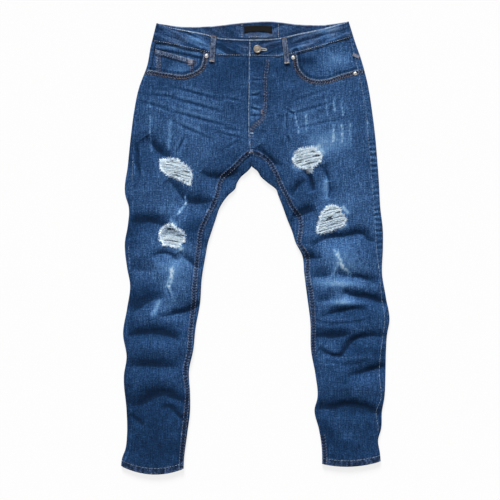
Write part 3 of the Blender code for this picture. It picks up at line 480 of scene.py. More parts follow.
def hem_bend(leg, x, y):
    """How far the hem lies above its nominal y at x."""
    _, sag, tilt = HEM[leg]
    inner = inner_edge(leg, y)
    across = np.clip((x - inner) / (outer_edge(leg, y) - inner), 0, 1)
    return tilt * (2 * across - 1) - 4 * sag * across * (1 - across)


def bent(leg, row_y, x, band_edge):
    """A row's real y at x: rows follow the waistband at the top and the hem at the bottom."""
    waist = np.clip((row_y - CROTCH_Y) / (WAIST_Y - CROTCH_Y), 0, 1)
    sag = (smooth(band_edge, 1, x) - WAIST_Y) * waist
    if band_edge is BAND_BACK:
        above = 1 - np.clip(np.abs(row_y - YOKE_Y) / (WAIST_Y - YOKE_Y), 0, 1)
        below = np.clip((row_y - YOKE_FOOT_Y) / (YOKE_Y - YOKE_FOOT_Y), 0, 1)
        dip = YOKE_DIP * np.where(row_y < YOKE_Y, below, above)
        sag = sag - dip * (1 - np.abs(x - CENTRE_X) / HALF_SEAT)
    nominal = HEM[leg][0]
    return row_y + sag + hem_bend(leg, x, row_y) * ramp(row_y, nominal + HEM_REACH, nominal)


def seam_line(leg, seam_x, high, low, step=4.0):
    """A seam on top of the garment as a line in plan."""
    rows = np.arange(high, low, -step)
    x = seam_x(leg, rows)
    return joined(x, bent(leg, rows, x, BAND_FRONT))


def hem_line(leg, up):
    """A line along the hem, a distance above its edge."""
    nominal = HEM[leg][0]
    x = np.linspace(inner_edge(leg, nominal), outer_edge(leg, nominal), 40)
    return joined(x, bent(leg, nominal, x, BAND_FRONT) + up)


MOUTH = {leg: rounded(points) for leg, points in POCKET_MOUTH.items()}
RIP_LINE = {name: rounded(points, closed=True) for name, (leg, points) in RIPS.items()}
FLY_LINE = rounded(FLY_STITCH)
FLY_EDGE = rounded([(-12, 446), (-12, 380), (-13.5, 320), (-13, 262), (-9, 222)])
INSEAM = {leg: seam_line(leg, inner_seam_x, CROTCH_Y, HEM[leg][0]) for leg in SIDE}
OUTSEAM = {leg: seam_line(leg, outer_seam_x, WAIST_Y, HEM[leg][0]) for leg in SIDE}
CREASE_LINES = [(*sizes, rounded(points, 3)) for *sizes, points in CREASES.values()]
WHISKER_LINES = [(np.array([row[:2], row[2:4]], dtype=float), *row[4:]) for row in WHISKERS]


def by_leg(rule, x, y):
    """A rule of each leg on its own side of the garment."""
    return np.where(x < CENTRE_X, rule("right", x, y), rule("left", x, y))


def left_of(line, x, y):
    """Distance to a line, positive on the left of travel, and the share of its length there."""
    d, share, near = distance_to(line, x, y, 1e3)
    step = np.arange(len(line))
    run_x, run_y = (np.interp(share * step[-1], step, run) for run in np.gradient(line, axis=0).T)
    over = run_x * (y - near[..., 1]) - run_y * (x - near[..., 0])
    return np.where(over > 0, d, -d), share


def crease_field(x, y):
    """Height of the creases and bulges, and how far down a shaded slope each point lies."""
    height = np.zeros_like(x)
    shaded = np.zeros_like(x)
    wander = 1.5 * noise(x, y, 26, 26, 3) + 0.8 * noise(x, y, 9, 9, 4)
    for above, below, deepest, line in CREASE_LINES:
        close = in_reach(line, x, y, 3.6 * above)
        if not close.any():
            continue
        across, share = left_of(line, x[close], y[close])
        across = across + wander[close] * min(1.0, above / 9)
        depth = deepest * np.sin(math.pi * share) ** 0.6
        reach = np.where(across > 0, above, RISE_REACH * above)
        height[close] -= depth * bell(across / reach, power=PROFILE)
        shaded[close] += depth * bell(across / np.where(across > 0, above, 0.4 * below))
    for bx, by, reach_x, reach_y, rise in BULGES.values():
        height += rise * bell((x - bx) / reach_x, (y - by) / reach_y)
    return height, shaded


def leg_top(leg, x, y):
    from_outer = np.maximum(SIDE[leg] * (outer_edge(leg, y) - x), 0)
    across = np.maximum(SIDE[leg] * (x - inner_edge(leg, y)), 0)
    from_inner = np.hypot(across, np.maximum(y - APEX_Y, 0))
    edges = np.exp(-from_outer / EDGE_REACH) + np.exp(-from_inner / EDGE_REACH)
    return smooth(CROWN, 1, y) - smooth(CROWN, 2, y) * edges


def broad_top(x, y):
    """The garment's top without its seams: what the layers under the fronts follow."""
    x, y = floats(x, y)
    height = by_leg(leg_top, x, y) + crease_field(x, y)[0]
    for line, width, depth in WHISKER_LINES:
        d, share, _ = distance_to(line, x, y)
        height -= depth * bell(d / width) * np.sin(math.pi * np.clip(share, 0.08, 0.92))
    height += sum(rise * noise(x, y, *cells) for rise, *cells in UNEVENNESS)
    bx, by = BUTTON_AT
    height += CLOSURE_RISE * bell((x - bx) / CLOSURE_REACH, (y - by) / CLOSURE_REACH)
    return FLOOR + np.logaddexp(0, (height - FLOOR) * FLOOR_SOFTNESS) / FLOOR_SOFTNESS


def ladder(line, share, period=6.6, lean=0.0):
    """The even puckers that a double-stitched seam draws along its length, from -1 to 1."""
    along = share * lengths(line).sum() + lean
    return np.sin(along * math.tau / period + 1.5 * noise(along, 0 * along, 30, 1, 22))


def inseam_rungs(leg, share, x, y):
    return ladder(INSEAM[leg], share, lean=0.9 * (x - inner_seam_x(leg, y)))


def outseam_shown(leg, y, least):
    """How strongly an outseam's puckers show: most beside the left thigh."""
    thigh = ramp(y, -30, 10) * (1 - ramp(y, 225, 260))
    return least + (1 - least) * thigh if leg == "left" else 0.15


def outseam_puckers(leg, share, x, y):
    """Puckers across the strip between the outseam and the edge of the leg."""
    out = SIDE[leg] * (x - outer_seam_x(leg, y))
    return outseam_shown(leg, y, 0.35) * ladder(OUTSEAM[leg], share, 11.5) * ramp(out, -3.0, 1.0)


def seam_relief(x, y):
    """Felled seams, stitched edges and their puckers, on top of the broad shape."""
    rise = np.zeros_like(x)
    pucker = noise(x, y, 5.0, 5.0, 21)
    for leg in SIDE:
        d, share, _ = distance_to(INSEAM[leg], x, y)
        rungs = 0.45 * inseam_rungs(leg, share, x, y)
        rise += (1.0 + 0.3 * pucker + rungs) * (1 - ramp(d, 5.0, 7.0))
        rise -= 0.5 * bell((d - 8.0) / 1.8) + 0.3 * bell(d / 1.4)
        d, share, _ = distance_to(OUTSEAM[leg], x, y)
        rise += (0.55 + 0.35 * pucker) * (1 - ramp(d, 3.0, 6.0))
        rise += 0.6 * outseam_puckers(leg, share, x, y) * bell(d / 11)
        d, share, _ = distance_to(MOUTH[leg], x, y)
        rungs = 0.25 * ladder(MOUTH[leg], share)
        rise += (0.9 + 0.25 * pucker + rungs) * (1 - ramp(d, 8.5, 10.5))
        rise -= 0.3 * bell((d - 5.0) / 1.5)
        waist_x = np.linspace(FRONT_X, outer_edge(leg, WAIST_Y), 60)
        d = distance_to(joined(waist_x, smooth(BAND_FRONT, 1, waist_x)), x, y)[0]
        rise += 0.3 * pucker * bell(d / 7)
        rise -= 0.5 * bell(distance_to(hem_line(leg, HEM_DEPTH), x, y)[0] / 2.0)
    on_fly = (x > FRONT_X - 1) & (x < 24) & (y > 268)
    d = distance_to(FLY_LINE, x, y)[0]
    rise += np.where(on_fly, 0.7 * ramp(d, 0.0, 4.0), 0.0) + 0.35 * pucker * bell(d / 6)
    rise += 0.4 * pucker * bell(distance_to(FLY_EDGE, x, y)[0] / 5)
    return rise


def hem_relief(leg, x, y):
    """The turned hem stands out, and ropes between its stitches and its edge."""
    up = y - HEM[leg][0] - hem_bend(leg, x, y)
    rope = np.sin(x * 0.62 + up * 0.45 + 2.0 * noise(x, y, 18, 18, 31))
    return (0.9 + 0.22 * rope) * (1 - ramp(up, HEM_DEPTH - 1.5, HEM_DEPTH + 0.5))


def top_height(x, y):
    """Height of the outermost layer's outer face."""
    x, y = floats(x, y)
    hem = np.where(y < HEM["left"][0] + 74, by_leg(hem_relief, x, y), 0.0)
    return broad_top(x, y) + seam_relief(x, y) + hem


# ---------------------------------------------------------------- the wash and painted shade
# Fades and painted shade: x, y, reach along x, reach along y, amount in hundredths, and the angle
# of some. Several of the darker ones are painted shade, along the legs' outer edges and beside
# creases and rips.
FADES_AND_SHADE = [
    (-165, 290, 60, 60, 10), (-190, 60, 60, 90, 6), (-175, -40, 36, 46, 30),
    (-190, -150, 30, 26, 12), (190, 290, 60, 60, 4), (215, 110, 50, 90, 6),
    (205, -30, 44, 40, 30), (185, -82, 60, 12, 34, -4), (200, -125, 34, 14, 28),
    (-60, 300, 50, 110, -5), (70, 330, 60, 90, -8), (-220, 0, 50, 60, -4),
    (-230, -400, 90, 90, -14), (225, -390, 80, 110, -12), (-225, -230, 80, 90, -7),
    (225, -230, 80, 70, -5), (-30, 200, 60, 30, -10), (-284, 240, 24, 70, -16),
    (-290, 30, 22, 70, -20), (-262, 55, 30, 30, -8), (-290, -105, 18, 45, -22),
    (10, 420, 75, 22, -16), (-70, 400, 60, 40, -7), (25, 350, 30, 50, -7),
    (-215, 365, 70, 45, -9), (174, 245, 48, 30, 18, 15), (115, 285, 40, 30, 8),
    (-40, 165, 45, 22, -10), (30, 165, 35, 25, -10), (118, 155, 34, 45, -14),
    (-147, 42, 20, 28, -24, -15), (-205, -75, 45, 38, 14), (190, -100, 30, 30, 8),
    (-140, -240, 26, 90, 12), (-200, -270, 50, 60, 5), (255, -270, 40, 60, 10),
    (200, -420, 60, 25, 10), (-280, -120, 22, 22, -14), (-222, -50, 30, 14, 8),
    (209, -307, 14, 18, -8), (176, -438, 22, 30, -12, 35), (-215, -470, 40, 22, -6),
    (210, -52, 24, 12, 7), (230, -5, 50, 22, 8), (212, -118, 26, 12, 14),
    (160, 139, 10, 20, 12, -15), (181, 132, 7, 22, -10), (-65, 374, 70, 30, -7),
    (26, 361, 16, 60, -4), (141, 243, 32, 20, 12), (-268, 201, 30, 40, -9),
    (-250, 40, 40, 20, -6), (-98, 68, 26, 34, -13), (77, 86, 16, 24, -14), (208, 98, 26, 18, 12),
    (295, 52, 12, 30, -14), (-157, -52, 18, 16, -10), (-250, -52, 22, 20, 8),
    (-203, -120, 22, 26, 10), (118, -98, 16, 14, -10), (114, -236, 14, 20, 10),
    (240, -330, 46, 20, 8), (-293, -350, 14, 70, -9), (-157, -328, 16, 16, 10),
    (165, -415, 12, 24, -12, 45), (-240, -98, 30, 16, -12), (-170, 165, 30, 20, 6, -15),
    (185, 255, 34, 26, 8), (-112, 205, 34, 40, 9), (-128, 48, 22, 34, -13, 20),
    (-62, 120, 26, 34, -10), (-157, -52, 24, 20, -6), (-200, -98, 20, 22, 8),
    (-203, -144, 24, 18, 7), (-296, -300, 10, 120, -9), (240, -6, 40, 22, -14),
    (304, 60, 10, 40, -9), (235, -150, 50, 20, -12), (165, -234, 20, 18, 3),
    (275, -240, 40, 22, -16), (262, -376, 48, 18, -9), (-100, 84, 28, 10, 12, 25),
    (-226, 498, 26, 40, -15), (-270, -335, 34, 16, -8), (-268, 200, 8, 42, -13),
    (240, -236, 16, 12, -10), (212, -236, 20, 14, -6), (240, 165, 30, 60, 5),
    (118, 195, 20, 20, 6), (165, 30, 60, 12, 5), (-157, 90, 26, 50, 4), (118, 90, 20, 30, 6),
    (-226, -40, 20, 16, 6), (-111, 320, 30, 30, 6), (118, 300, 26, 50, 6), (175, 400, 30, 30, 8),
    (236, -236, 26, 14, -6), (118, 175, 26, 26, 8), (164, 130, 24, 36, 8), (160, 98, 20, 24, 8),
    (-116, -143, 10, 22, 10), (-204, -6, 26, 14, 9), (-204, -150, 22, 14, 8),
    (-262, -52, 30, 14, 8), (-200, 452, 24, 8, 10), (-180, -420, 30, 26, 7),
]
# Scuffs, from hard wear, and painted shade in two narrow creases on the left thigh, with a
# painted highlight on the lit side of one: line, half width, amount.
SCUFFS_AND_CREASE_SHADING = [
    ([(-239, 300), (-240, 262), (-238, 222)], 2.8, 0.42), ([(-240, 374), (-240, 322)], 2, 0.28),
    ([(-194, 292), (-197, 226)], 3.6, 0.36),
    ([(-160, 118), (-159, 100), (-166, 90), (-176, 78)], 3.2, 0.75),
    ([(-189, -50), (-192, -70), (-199, -90)], 5, 0.62), ([(-219, -124), (-233, -153)], 6.5, 0.4),
    ([(-278, 212), (-275, 170)], 2, 0.35), ([(93, 307), (97, 284), (102, 262)], 2, 0.55),
    ([(117, 309), (118, 270)], 2, 0.5), ([(164, 342), (166, 302)], 2, 0.55),
    ([(182, 342), (184, 302)], 2, 0.5), ([(201, 342), (202, 304)], 2, 0.5),
    ([(181, 282), (182, 244)], 2.2, 0.5), ([(200, 282), (202, 244)], 2.2, 0.5),
    ([(218, 282), (220, 246)], 2, 0.52), ([(122, 174), (129, 152), (134, 134)], 3.6, -0.3),
    ([(166, 172), (172, 150), (171, 118)], 2.2, -0.2), ([(160, 150), (164, 118)], 6, 0.16),
    ([(185, -8), (196, -31), (206, -48), (219, -62)], 4.6, 0.5),
    ([(192, -34), (182, -62)], 3.2, 0.26), ([(165, 160), (168, 116)], 4, 0.15),
    ([(150, 228), (218, 236)], 9, 0.1), ([(146, 230), (158, 216)], 6.5, 0.4),
    ([(92, 188), (100, 180)], 6.5, 0.4), ([(204, 92), (213, 80)], 4.5, 0.42),
    ([(196, 42), (210, 52)], 4, 0.4), ([(-178, 4), (-166, -4)], 5, 0.42),
    ([(-192, 62), (-182, 54)], 5, 0.36), ([(258.6, 290), (259.2, 262)], 2, 0.44),
]
TORN = 0.45            # a scuff of more than this has broken threads
BASE_WASH = [(530, 0.34), (440, 0.40), (330, 0.42), (200, 0.41), (60, 0.42), (-60, 0.40),
             (-160, 0.37), (-300, 0.33), (-520, 0.28)]
WASH_MOST = 1.3


def inseam_shown(leg, y):
    """The left leg's inseam rolls under its edge below the calf, and comes back at the hem."""
    if leg == "right":
        return 1.0
    return 1 - ramp(y, -238, -252) * (1 - ramp(y, -428, -436))


def crease_shade_and_wear(x, y, step=3.0):
    """Painted shade on each crease's slope away from the sun; darker valleys and paler ridges,
    part wear and part painted shade and highlight.
    """
    bend = broad_top(x, y + step) + broad_top(x, y - step) - 2 * broad_top(x, y)
    ridge = np.where(bend > 0, 0.08, 0.16) * np.clip(bend, -1.0, 1.0)
    return -0.042 * crease_field(x, y)[1] - ridge


def seam_wear_and_shade(leg, x, y):
    """Wear of one leg's seams, pocket mouth and hem: pale on their edges, dark beside the mouth,
    with painted shade in the groove beside the inseam.
    """
    side = SIDE[leg]
    speck = noise(x, y, 4.0, 4.0, 42)
    d, share, _ = distance_to(INSEAM[leg], x, y)
    felled = (0.07 * inseam_rungs(leg, share, x, y) - 0.11) * (1 - ramp(d, 2.8, 4.2))
    # Pale specks beside the felled seam, and painted shade in the groove past it.
    felled += (0.08 + 0.18 * speck) * bell((d - 5.2) / 1.5) - 0.08 * bell((d - 8.0) / 1.5)
    wash = inseam_shown(leg, y) * felled
    d, share, _ = distance_to(OUTSEAM[leg], x, y)
    wash += (0.10 + 0.14 * speck) * bell(d / 2.2)
    wash += 0.10 * outseam_puckers(leg, share, x, y) * bell(d / 10)
    d, share, _ = distance_to(MOUTH[leg], x, y)
    on_front = side * (x - outer_seam_x(leg, y)) < 2.0
    rungs = (0.05 * ladder(MOUTH[leg], share) - 0.20) * on_front
    wash += 0.20 * bell(d / 1.3) + rungs * bell((d - 5.0) / 3.0, power=4)
    wash += 0.06 * bell((d - 9.6) / 1.2)
    wash += (0.22 + 0.2 * speck) * bell(distance_to(hem_line(leg, 0.8), x, y)[0] / 1.8)
    on_hem = 1 - ramp(distance_to(hem_line(leg, HEM_DEPTH / 2), x, y)[0], 7.0, 9.0)
    return wash + on_hem * (0.12 * noise(x, y, 6, 12, 46) + 0.12 * speck - 0.03)


def wash_and_shade_at(x, y, add_crease_shade_and_wear=True):
    """How far the indigo has been washed out, with painted shade and highlight laid in: 0 is dark,
    1 is bare.
    """
    x, y = floats(x, y)
    wash = smooth(BASE_WASH, 1, y)
    for cx, cy, reach_x, reach_y, amount, *angle in FADES_AND_SHADE:
        u, v = turned(x - cx, y - cy, -math.radians(sum(angle)))
        wash = wash + amount / 100 * bell(u / reach_x, v / reach_y)
    if add_crease_shade_and_wear:
        wash = wash + crease_shade_and_wear(x, y)
    for line, width, depth in WHISKER_LINES:
        d, share, near = distance_to(line, x, y)
        above = np.where(y > near[..., 1], 1.0, 0.4)
        pale = bell((d - 1.6 * width) / width) * above - 1.3 * bell(d / (0.5 * width))
        wash += 0.11 * depth * pale * np.sin(math.pi * np.clip(share, 0.06, 0.94))
    ragged_x = x + 1.8 * noise(x, y, 12.0, 5.0, 47)
    torn = 0.70 + 0.65 * noise(x, y, 2.2, 4.0, 41)
    rubbed = 0.85 + 0.35 * noise(x, y, 3.0, 14.0, 41)
    # The negative marks are painted shade, and take the long streaks of the weaker scuffs.
    for line, width, amount in SCUFFS_AND_CREASE_SHADING:
        d = distance_to(rounded(line), ragged_x, y)[0]
        wash += amount * (torn if amount > TORN else rubbed) * bell(d / width)
    wash += seam_wear_and_shade("right", x, y) + seam_wear_and_shade("left", x, y)
    # The fly's edge is worn pale; on the wearer's right beside it lies a painted shadow.
    fly_edge = bell(distance_to(FLY_EDGE, x, y)[0] / 2.6)
    wash += np.where(x > FRONT_X - 1.5, 0.25, -0.32) * fly_edge
    for outline in RIP_LINE.values():
        d = distance_to(ring_of(outline), x, y)[0] + 1.8 * noise(x, y, 2.6, 5.0, 43)
        d = np.maximum(d, 0)
        wash += 0.70 * bell(d / 2.2) + 0.05 * bell(d / 12.0)
    wash += 0.05 * noise(x, y, 40, 60, 44) + 0.03 * noise(x, y, 8, 20, 45)
    return np.clip(wash, 0.0, WASH_MOST)


def seam_marks(x, y):
    """What the cloth's colour shows along the seams: the place along one in turns of its
    puckers, their strength, and how greyed the cloth is there."""
    turns, strength, greyed = (np.zeros_like(x) for _ in range(3))
    # Line, pitch of its puckers, their lean, reach, strength, greying.
    bands = [
        (beside(FLY_LINE, ROW_GAP / 2), 6.0, 0.4, 5.0, 0.10, 0.4),
        (COIN_HEM + (1.0, -5.5), 6.0, 0.8, 5.5, 0.12, 0.75),
        (np.array([(-221.0, 448.0), (-221.0, 400.0)]), 6.0, 0.8, 6.0, 0.14, 0.55),
    ]
    for leg, side in SIDE.items():
        bands += [
            (INSEAM[leg], 7.0, 0.5, 4.5, 0.17, 0.50),
            (beside(MOUTH[leg], -side * 5.0), 5.5, 0.9, 5.0, 0.24, 0.9),
            (hem_line(leg, HEM_DEPTH / 2), 11.0, 0.4, 7.5, 0.09, 0.50),
        ]
    for line, pitch, lean, reach, rungs, grey in bands:
        d, share, _ = distance_to(line, x, y)
        weight = 1 - ramp(d, reach, reach + 1.5)
        if line is INSEAM["left"]:
            weight = weight * inseam_shown("left", y)
        turn = (share * lengths(line).sum() + lean * d) / pitch + 0.35 * noise(x, y, 16, 16, 47)
        turns = np.where(weight * rungs > strength, turn, turns)
        strength = np.maximum(strength, weight * rungs)
        greyed = np.maximum(greyed, weight * grey)
    for leg, side in SIDE.items():
        d, share, _ = distance_to(OUTSEAM[leg], x, y)
        out = side * (x - outer_seam_x(leg, y))
        weight = 0.16 * outseam_shown(leg, y, 0.15) * ramp(out, -2.0, 1.0)
        weight = weight * (1 - ramp(d, 13.0, 19.0))
        turn = share * lengths(OUTSEAM[leg]).sum() / 12.5
        turns = np.where(weight > strength, turn, turns)
        strength = np.maximum(strength, weight)
    return joined(turns, strength, greyed)


# ---------------------------------------------------------------- materials
def add(tree, kind, inputs=(), out=0, stops=(), **settings):
    """Adds a node with its settings, and gives one output. Its inputs, in order or by name,
    take values or links, and stops are the places and colours of a ramp."""
    made = tree.nodes.new(kind)
    for name, value in settings.items():
        setattr(made, name, value)
    for name, value in inputs.items() if isinstance(inputs, dict) else enumerate(inputs):
        if isinstance(value, bpy.types.NodeSocket):
            tree.links.new(value, made.inputs[name])
        else:
            made.inputs[name].default_value = value
    for _ in stops[2:]:
        made.color_ramp.elements.new(0.5)
    for place, (position, code) in enumerate(stops):
        made.color_ramp.elements[place].position = position
        made.color_ramp.elements[place].color = srgb(code)
    return made.outputs[out] if made.outputs else None


def srgb(code):
    """An sRGB hex colour as linear numbers."""
    parts = [int(code[i:i + 2], 16) / 255 for i in (1, 3, 5)]
    return [p / 12.92 if p <= 0.04045 else ((p + 0.055) / 1.055) ** 2.4 for p in parts] + [1.0]


def new_material(name, **shader_values):
    """A material, its tree, its shader, and the place on the piece in millimetres."""
    made = bpy.data.materials.new(name)
    made.use_nodes = True
    tree = made.node_tree
    shader = tree.nodes["Principled BSDF"]
    for socket, value in shader_values.items():
        shader.inputs[socket.replace("_", " ")].default_value = value
    place = add(tree, "ShaderNodeTexCoord", out="Object")
    place = add(tree, "ShaderNodeMapping", {"Vector": place, "Scale": (1000, 1000, 1000)})
    return made, tree, shader, place


def finish(tree, shader, colour, relief, strength, depth):
    """Gives a shader its colour and its fine relief, whose depth is in millimetres."""
    tree.links.new(colour, shader.inputs["Base Color"])
    bump = add(tree, "ShaderNodeBump",
               {"Height": relief, "Strength": strength, "Distance": depth * MM})
    tree.links.new(bump, shader.inputs["Normal"])


def grain(tree, place, size, detail=2.0, offset=(0, 0, 0)):
    """Noise from 0 to 1 whose spots have the given size in millimetres along each axis."""
    scaled = add(tree, "ShaderNodeMapping", {
        "Vector": place, "Location": offset, "Scale": [1.0 / s if s else 0.0 for s in size]})
    return add(tree, "ShaderNodeTexNoise", {
        "Vector": scaled, "Scale": 1.0, "Detail": detail, "Roughness": 0.6})


INDIGO = [
    (0.00, "#041d38"), (0.19, "#12345a"), (0.385, "#30517e"), (0.58, "#4e78a9"),
    (0.77, "#8aadcc"), (1.00, "#c8d9e8"),
]
SEAM_GREY = [          # where stitches lie close together and the dye has rubbed away
    (0.00, "#101828"), (0.19, "#242c40"), (0.385, "#4a556d"), (0.58, "#6e7c94"),
    (0.77, "#9aa4b4"), (1.00, "#c8ccd0"),
]
PEPPER = 1.45          # how strongly each kind of unevenness shows in the colour
WEFT_SHARE = 0.45
TWILL_ANGLE = 27.0
TWILL_PITCH = 1.3      # twice the real pitch of the twill lines, which would not show
WAVE_TURN = math.tau / 20    # the Wave node's scale for one line a millimetre


def indigo_denim(name, slub, darker=0.0):
    """Stretch denim, cotton in 3/1 twill with an indigo warp: matt, with uneven warp threads
    that show as short streaks along the leg, paler where the dye has been worn off."""
    made, tree, shader, place = new_material(
        name, Roughness=0.92, Sheen_Weight=0.02, Sheen_Roughness=0.5, Specular_IOR_Level=0.15)
    # The wash attribute carries the worn dye, with painted shade and highlight laid in.
    wash = add(tree, "ShaderNodeAttribute", out="Fac", attribute_name="wash")
    seam = add(tree, "ShaderNodeAttribute", out="Vector", attribute_name="seam")
    seam = add(tree, "ShaderNodeSeparateXYZ", (seam,)).node.outputs
    pepper = grain(tree, place, (2.9, 2.9, 0.0), detail=3.0, offset=(31, 7, 0))
    worn = add(tree, "ShaderNodeMath", (wash, 1.1, 0.5), operation="MULTIPLY_ADD",
               use_clamp=True)
    quiet = add(tree, "ShaderNodeMapRange", {
        "Value": wash, "From Min": 0.48, "From Max": 0.80, "To Min": 1.0, "To Max": 0.40})

    def worked(value, *steps):
        for operation, *others in steps:
            value = add(tree, "ShaderNodeMath", (value, *others), operation=operation)
        return value

    puckers = worked(seam["X"], ("MULTIPLY", math.tau), ("SINE",), ("MULTIPLY", seam["Y"]))
    uneven = -0.5 * (slub + PEPPER + WEFT_SHARE)
    for field, share in ((grain(tree, place, (2.6, 26.0, 0.0)), slub), (pepper, PEPPER),
                         (grain(tree, place, (14.0, 2.6, 0.0), offset=(3, 17, 0)), WEFT_SHARE)):
        uneven = worked(field, ("MULTIPLY_ADD", share, uneven))
    total = worked(uneven, ("MULTIPLY", quiet), ("MULTIPLY_ADD", worn, wash),
                   ("SUBTRACT", darker), ("ADD", puckers), ("DIVIDE", WASH_MOST))
    blue, grey = (add(tree, "ShaderNodeValToRGB", (total,), stops=stops)
                  for stops in (INDIGO, SEAM_GREY))
    colour = add(tree, "ShaderNodeMixRGB", (seam["Z"], blue, grey))
    across = add(tree, "ShaderNodeMapping", {
        "Vector": place, "Rotation": (0, 0, math.radians(TWILL_ANGLE)), "Scale": (1, 1, 0)})
    twill = add(tree, "ShaderNodeTexWave", {
        "Vector": across, "Scale": WAVE_TURN / TWILL_PITCH, "Distortion": 1.2, "Detail": 1.0,
        "Detail Scale": 1.5}, out="Fac")
    relief = worked(pepper, ("MULTIPLY_ADD", 3.0, twill))
    finish(tree, shader, colour, worked(puckers, ("MULTIPLY_ADD", 5.0, relief)), 0.55, 0.3)
    return made


def denim_reverse():
    """The reverse of the denim, where the undyed weft shows: greyed blue, with fine specks."""
    made, tree, shader, place = new_material(
        "denim_reverse_cotton", Roughness=0.95, Sheen_Weight=0.1, Specular_IOR_Level=0.25)
    specks = grain(tree, place, (1.3, 1.0, 1.0), detail=3.0)
    colour = add(tree, "ShaderNodeValToRGB", (specks,),
                 stops=[(0.3, "#3d5675"), (0.5, "#6c84a0"), (0.7, "#93a8bd")])
    finish(tree, shader, colour, specks, 0.5, 0.3)
    return made


def cotton_thread(name, spread, *colours):
    """Cotton thread: matt and twisted, each stitch a little different in colour."""
    made, tree, shader, place = new_material(
        name, Roughness=0.85, Sheen_Weight=0.15, Specular_IOR_Level=0.3)
    colour = add(tree, "ShaderNodeValToRGB", (grain(tree, place, (5.0, 5.0, 0.0)),),
                 stops=list(zip((0.5 - spread, 0.5, 0.5 + spread), colours)))
    finish(tree, shader, colour, grain(tree, place, (0.25, 0.5, 0.4), detail=1.0), 0.4, 0.1)
    return made


def satin_label():
    """Woven polyester satin: near black, smoother than the denim, with fine weft ribs."""
    made, tree, shader, place = new_material(
        "satin_label_weave", Roughness=0.6, Specular_IOR_Level=0.12)
    colour = add(tree, "ShaderNodeValToRGB", (grain(tree, place, (3.0, 0.8, 1.0)),),
                 stops=[(0.3, "#050506"), (0.7, "#0e0e11")])
    ribs = add(tree, "ShaderNodeTexWave", {
        "Vector": place, "Scale": WAVE_TURN / 0.7, "Distortion": 0.4}, out="Fac",
        bands_direction="Y")
    finish(tree, shader, colour, ribs, 0.35, 0.1)
    return made


def worn_metal(name, bright, dull, roughness):
    """Plated brass, tumbled: scuffed, with its tone and roughness uneven in small spots."""
    made, tree, shader, place = new_material(name, Metallic=1.0)
    tone = grain(tree, place, (1.6, 1.6, 1.6), detail=3.0)
    colour = add(tree, "ShaderNodeValToRGB", (tone,), stops=[(0.35, dull), (0.65, bright)])
    rough = add(tree, "ShaderNodeMath", (tone, 0.25, roughness - 0.12),
                operation="MULTIPLY_ADD")
    tree.links.new(rough, shader.inputs["Roughness"])
    finish(tree, shader, colour, grain(tree, place, (0.3, 2.5, 1.0)), 0.2, 0.05)
    return made


DENIM = indigo_denim("indigo_denim_twill", 0.85)
DENIM_BAND = indigo_denim("indigo_denim_waistband", 0.55, darker=0.02)
REVERSE = denim_reverse()
# Threads: name, how far apart in the noise their dark, middle and pale colours lie, and those.
WEFT_COTTON, SHADED_COTTON, FRAY_COTTON, WORN_EDGE, TAN_THREAD, MAUVE_THREAD, PALE_THREAD = (
    cotton_thread(*row) for row in (
        ("undyed_cotton_weft", 0.2, "#c8e1f2", "#e2f3fd", "#f5fdff"),
        # Painted shade: weft under the fold above the right knee's rip, greyer than the lit weft.
        ("shaded_cotton_weft", 0.2, "#718ca4", "#94abbd", "#b4c6d4"),
        ("frayed_cotton_warp", 0.2, "#94b2d2", "#c8daec", "#eef5fb"),
        ("worn_denim_edge", 0.15, "#3c587e", "#7a94b4", "#b2c6da"),
        ("copper_cotton_thread", 0.2, "#66535a", "#8f7169", "#c0a491"),
        ("faded_copper_cotton_thread", 0.2, "#4f5670", "#7c8094", "#aca8ae"),
        ("faded_cotton_thread", 0.2, "#8f9dad", "#c0c6c8", "#e6e3da"),
    ))
# Rows of stitches: thread, pitch, length and width, half as wide again as real thread.
STITCHES = [
    ("topstitch_copper", TAN_THREAD, 4.6, 2.8, 0.95),
    ("topstitch_faded_copper", MAUVE_THREAD, 6.4, 3.4, 1.2),
    ("topstitch_faded", PALE_THREAD, 5.0, 3.2, 1.2),
    ("topstitch_long", WORN_EDGE, 7.0, 8.0, 0.85),
]
LABEL_CLOTH = satin_label()
ANTIQUE_NICKEL = worn_metal("antique_nickel_plate", "#968f85", "#5f5850", 0.42)
BRIGHT_NICKEL = worn_metal("bright_nickel_plate", "#c2c2c2", "#7f7c77", 0.34)


# ---------------------------------------------------------------- meshes
def mesh_from(name, points, faces, materials, wash=None, edges=(), marks=None):
    """A mesh object in the frame from points in the plan."""
    mesh = bpy.data.meshes.new(name)
    mesh.from_pydata(((np.asarray(points) + PLAN_SHIFT) * MM).tolist(), list(edges), list(faces))
    mesh.update()
    mesh.shade_smooth()
    # The wash attribute holds the worn dye, with painted shade and highlight laid in.
    for layer, kind, field, values in (("wash", "FLOAT", "value", wash),
                                       ("seam", "FLOAT_VECTOR", "vector", marks)):
        if values is not None:
            data = mesh.attributes.new(layer, kind, "POINT").data
            data.foreach_set(field, np.asarray(values, dtype=np.float32).ravel())
    for one in materials:
        mesh.materials.append(one)
    obj = bpy.data.objects.new(name, mesh)
    bpy.context.scene.collection.objects.link(obj)
    return obj


def plain_mesh(obj):
    """Applies an object's modifiers, so that only its mesh is left."""
    bpy.context.view_layer.update()
    graph = bpy.context.evaluated_depsgraph_get()
    mesh = bpy.data.meshes.new_from_object(obj.evaluated_get(graph), depsgraph=graph)
    name = obj.name
    bpy.data.objects.remove(obj)
    made = bpy.data.objects.new(name, mesh)
    bpy.context.scene.collection.objects.link(made)
    return made


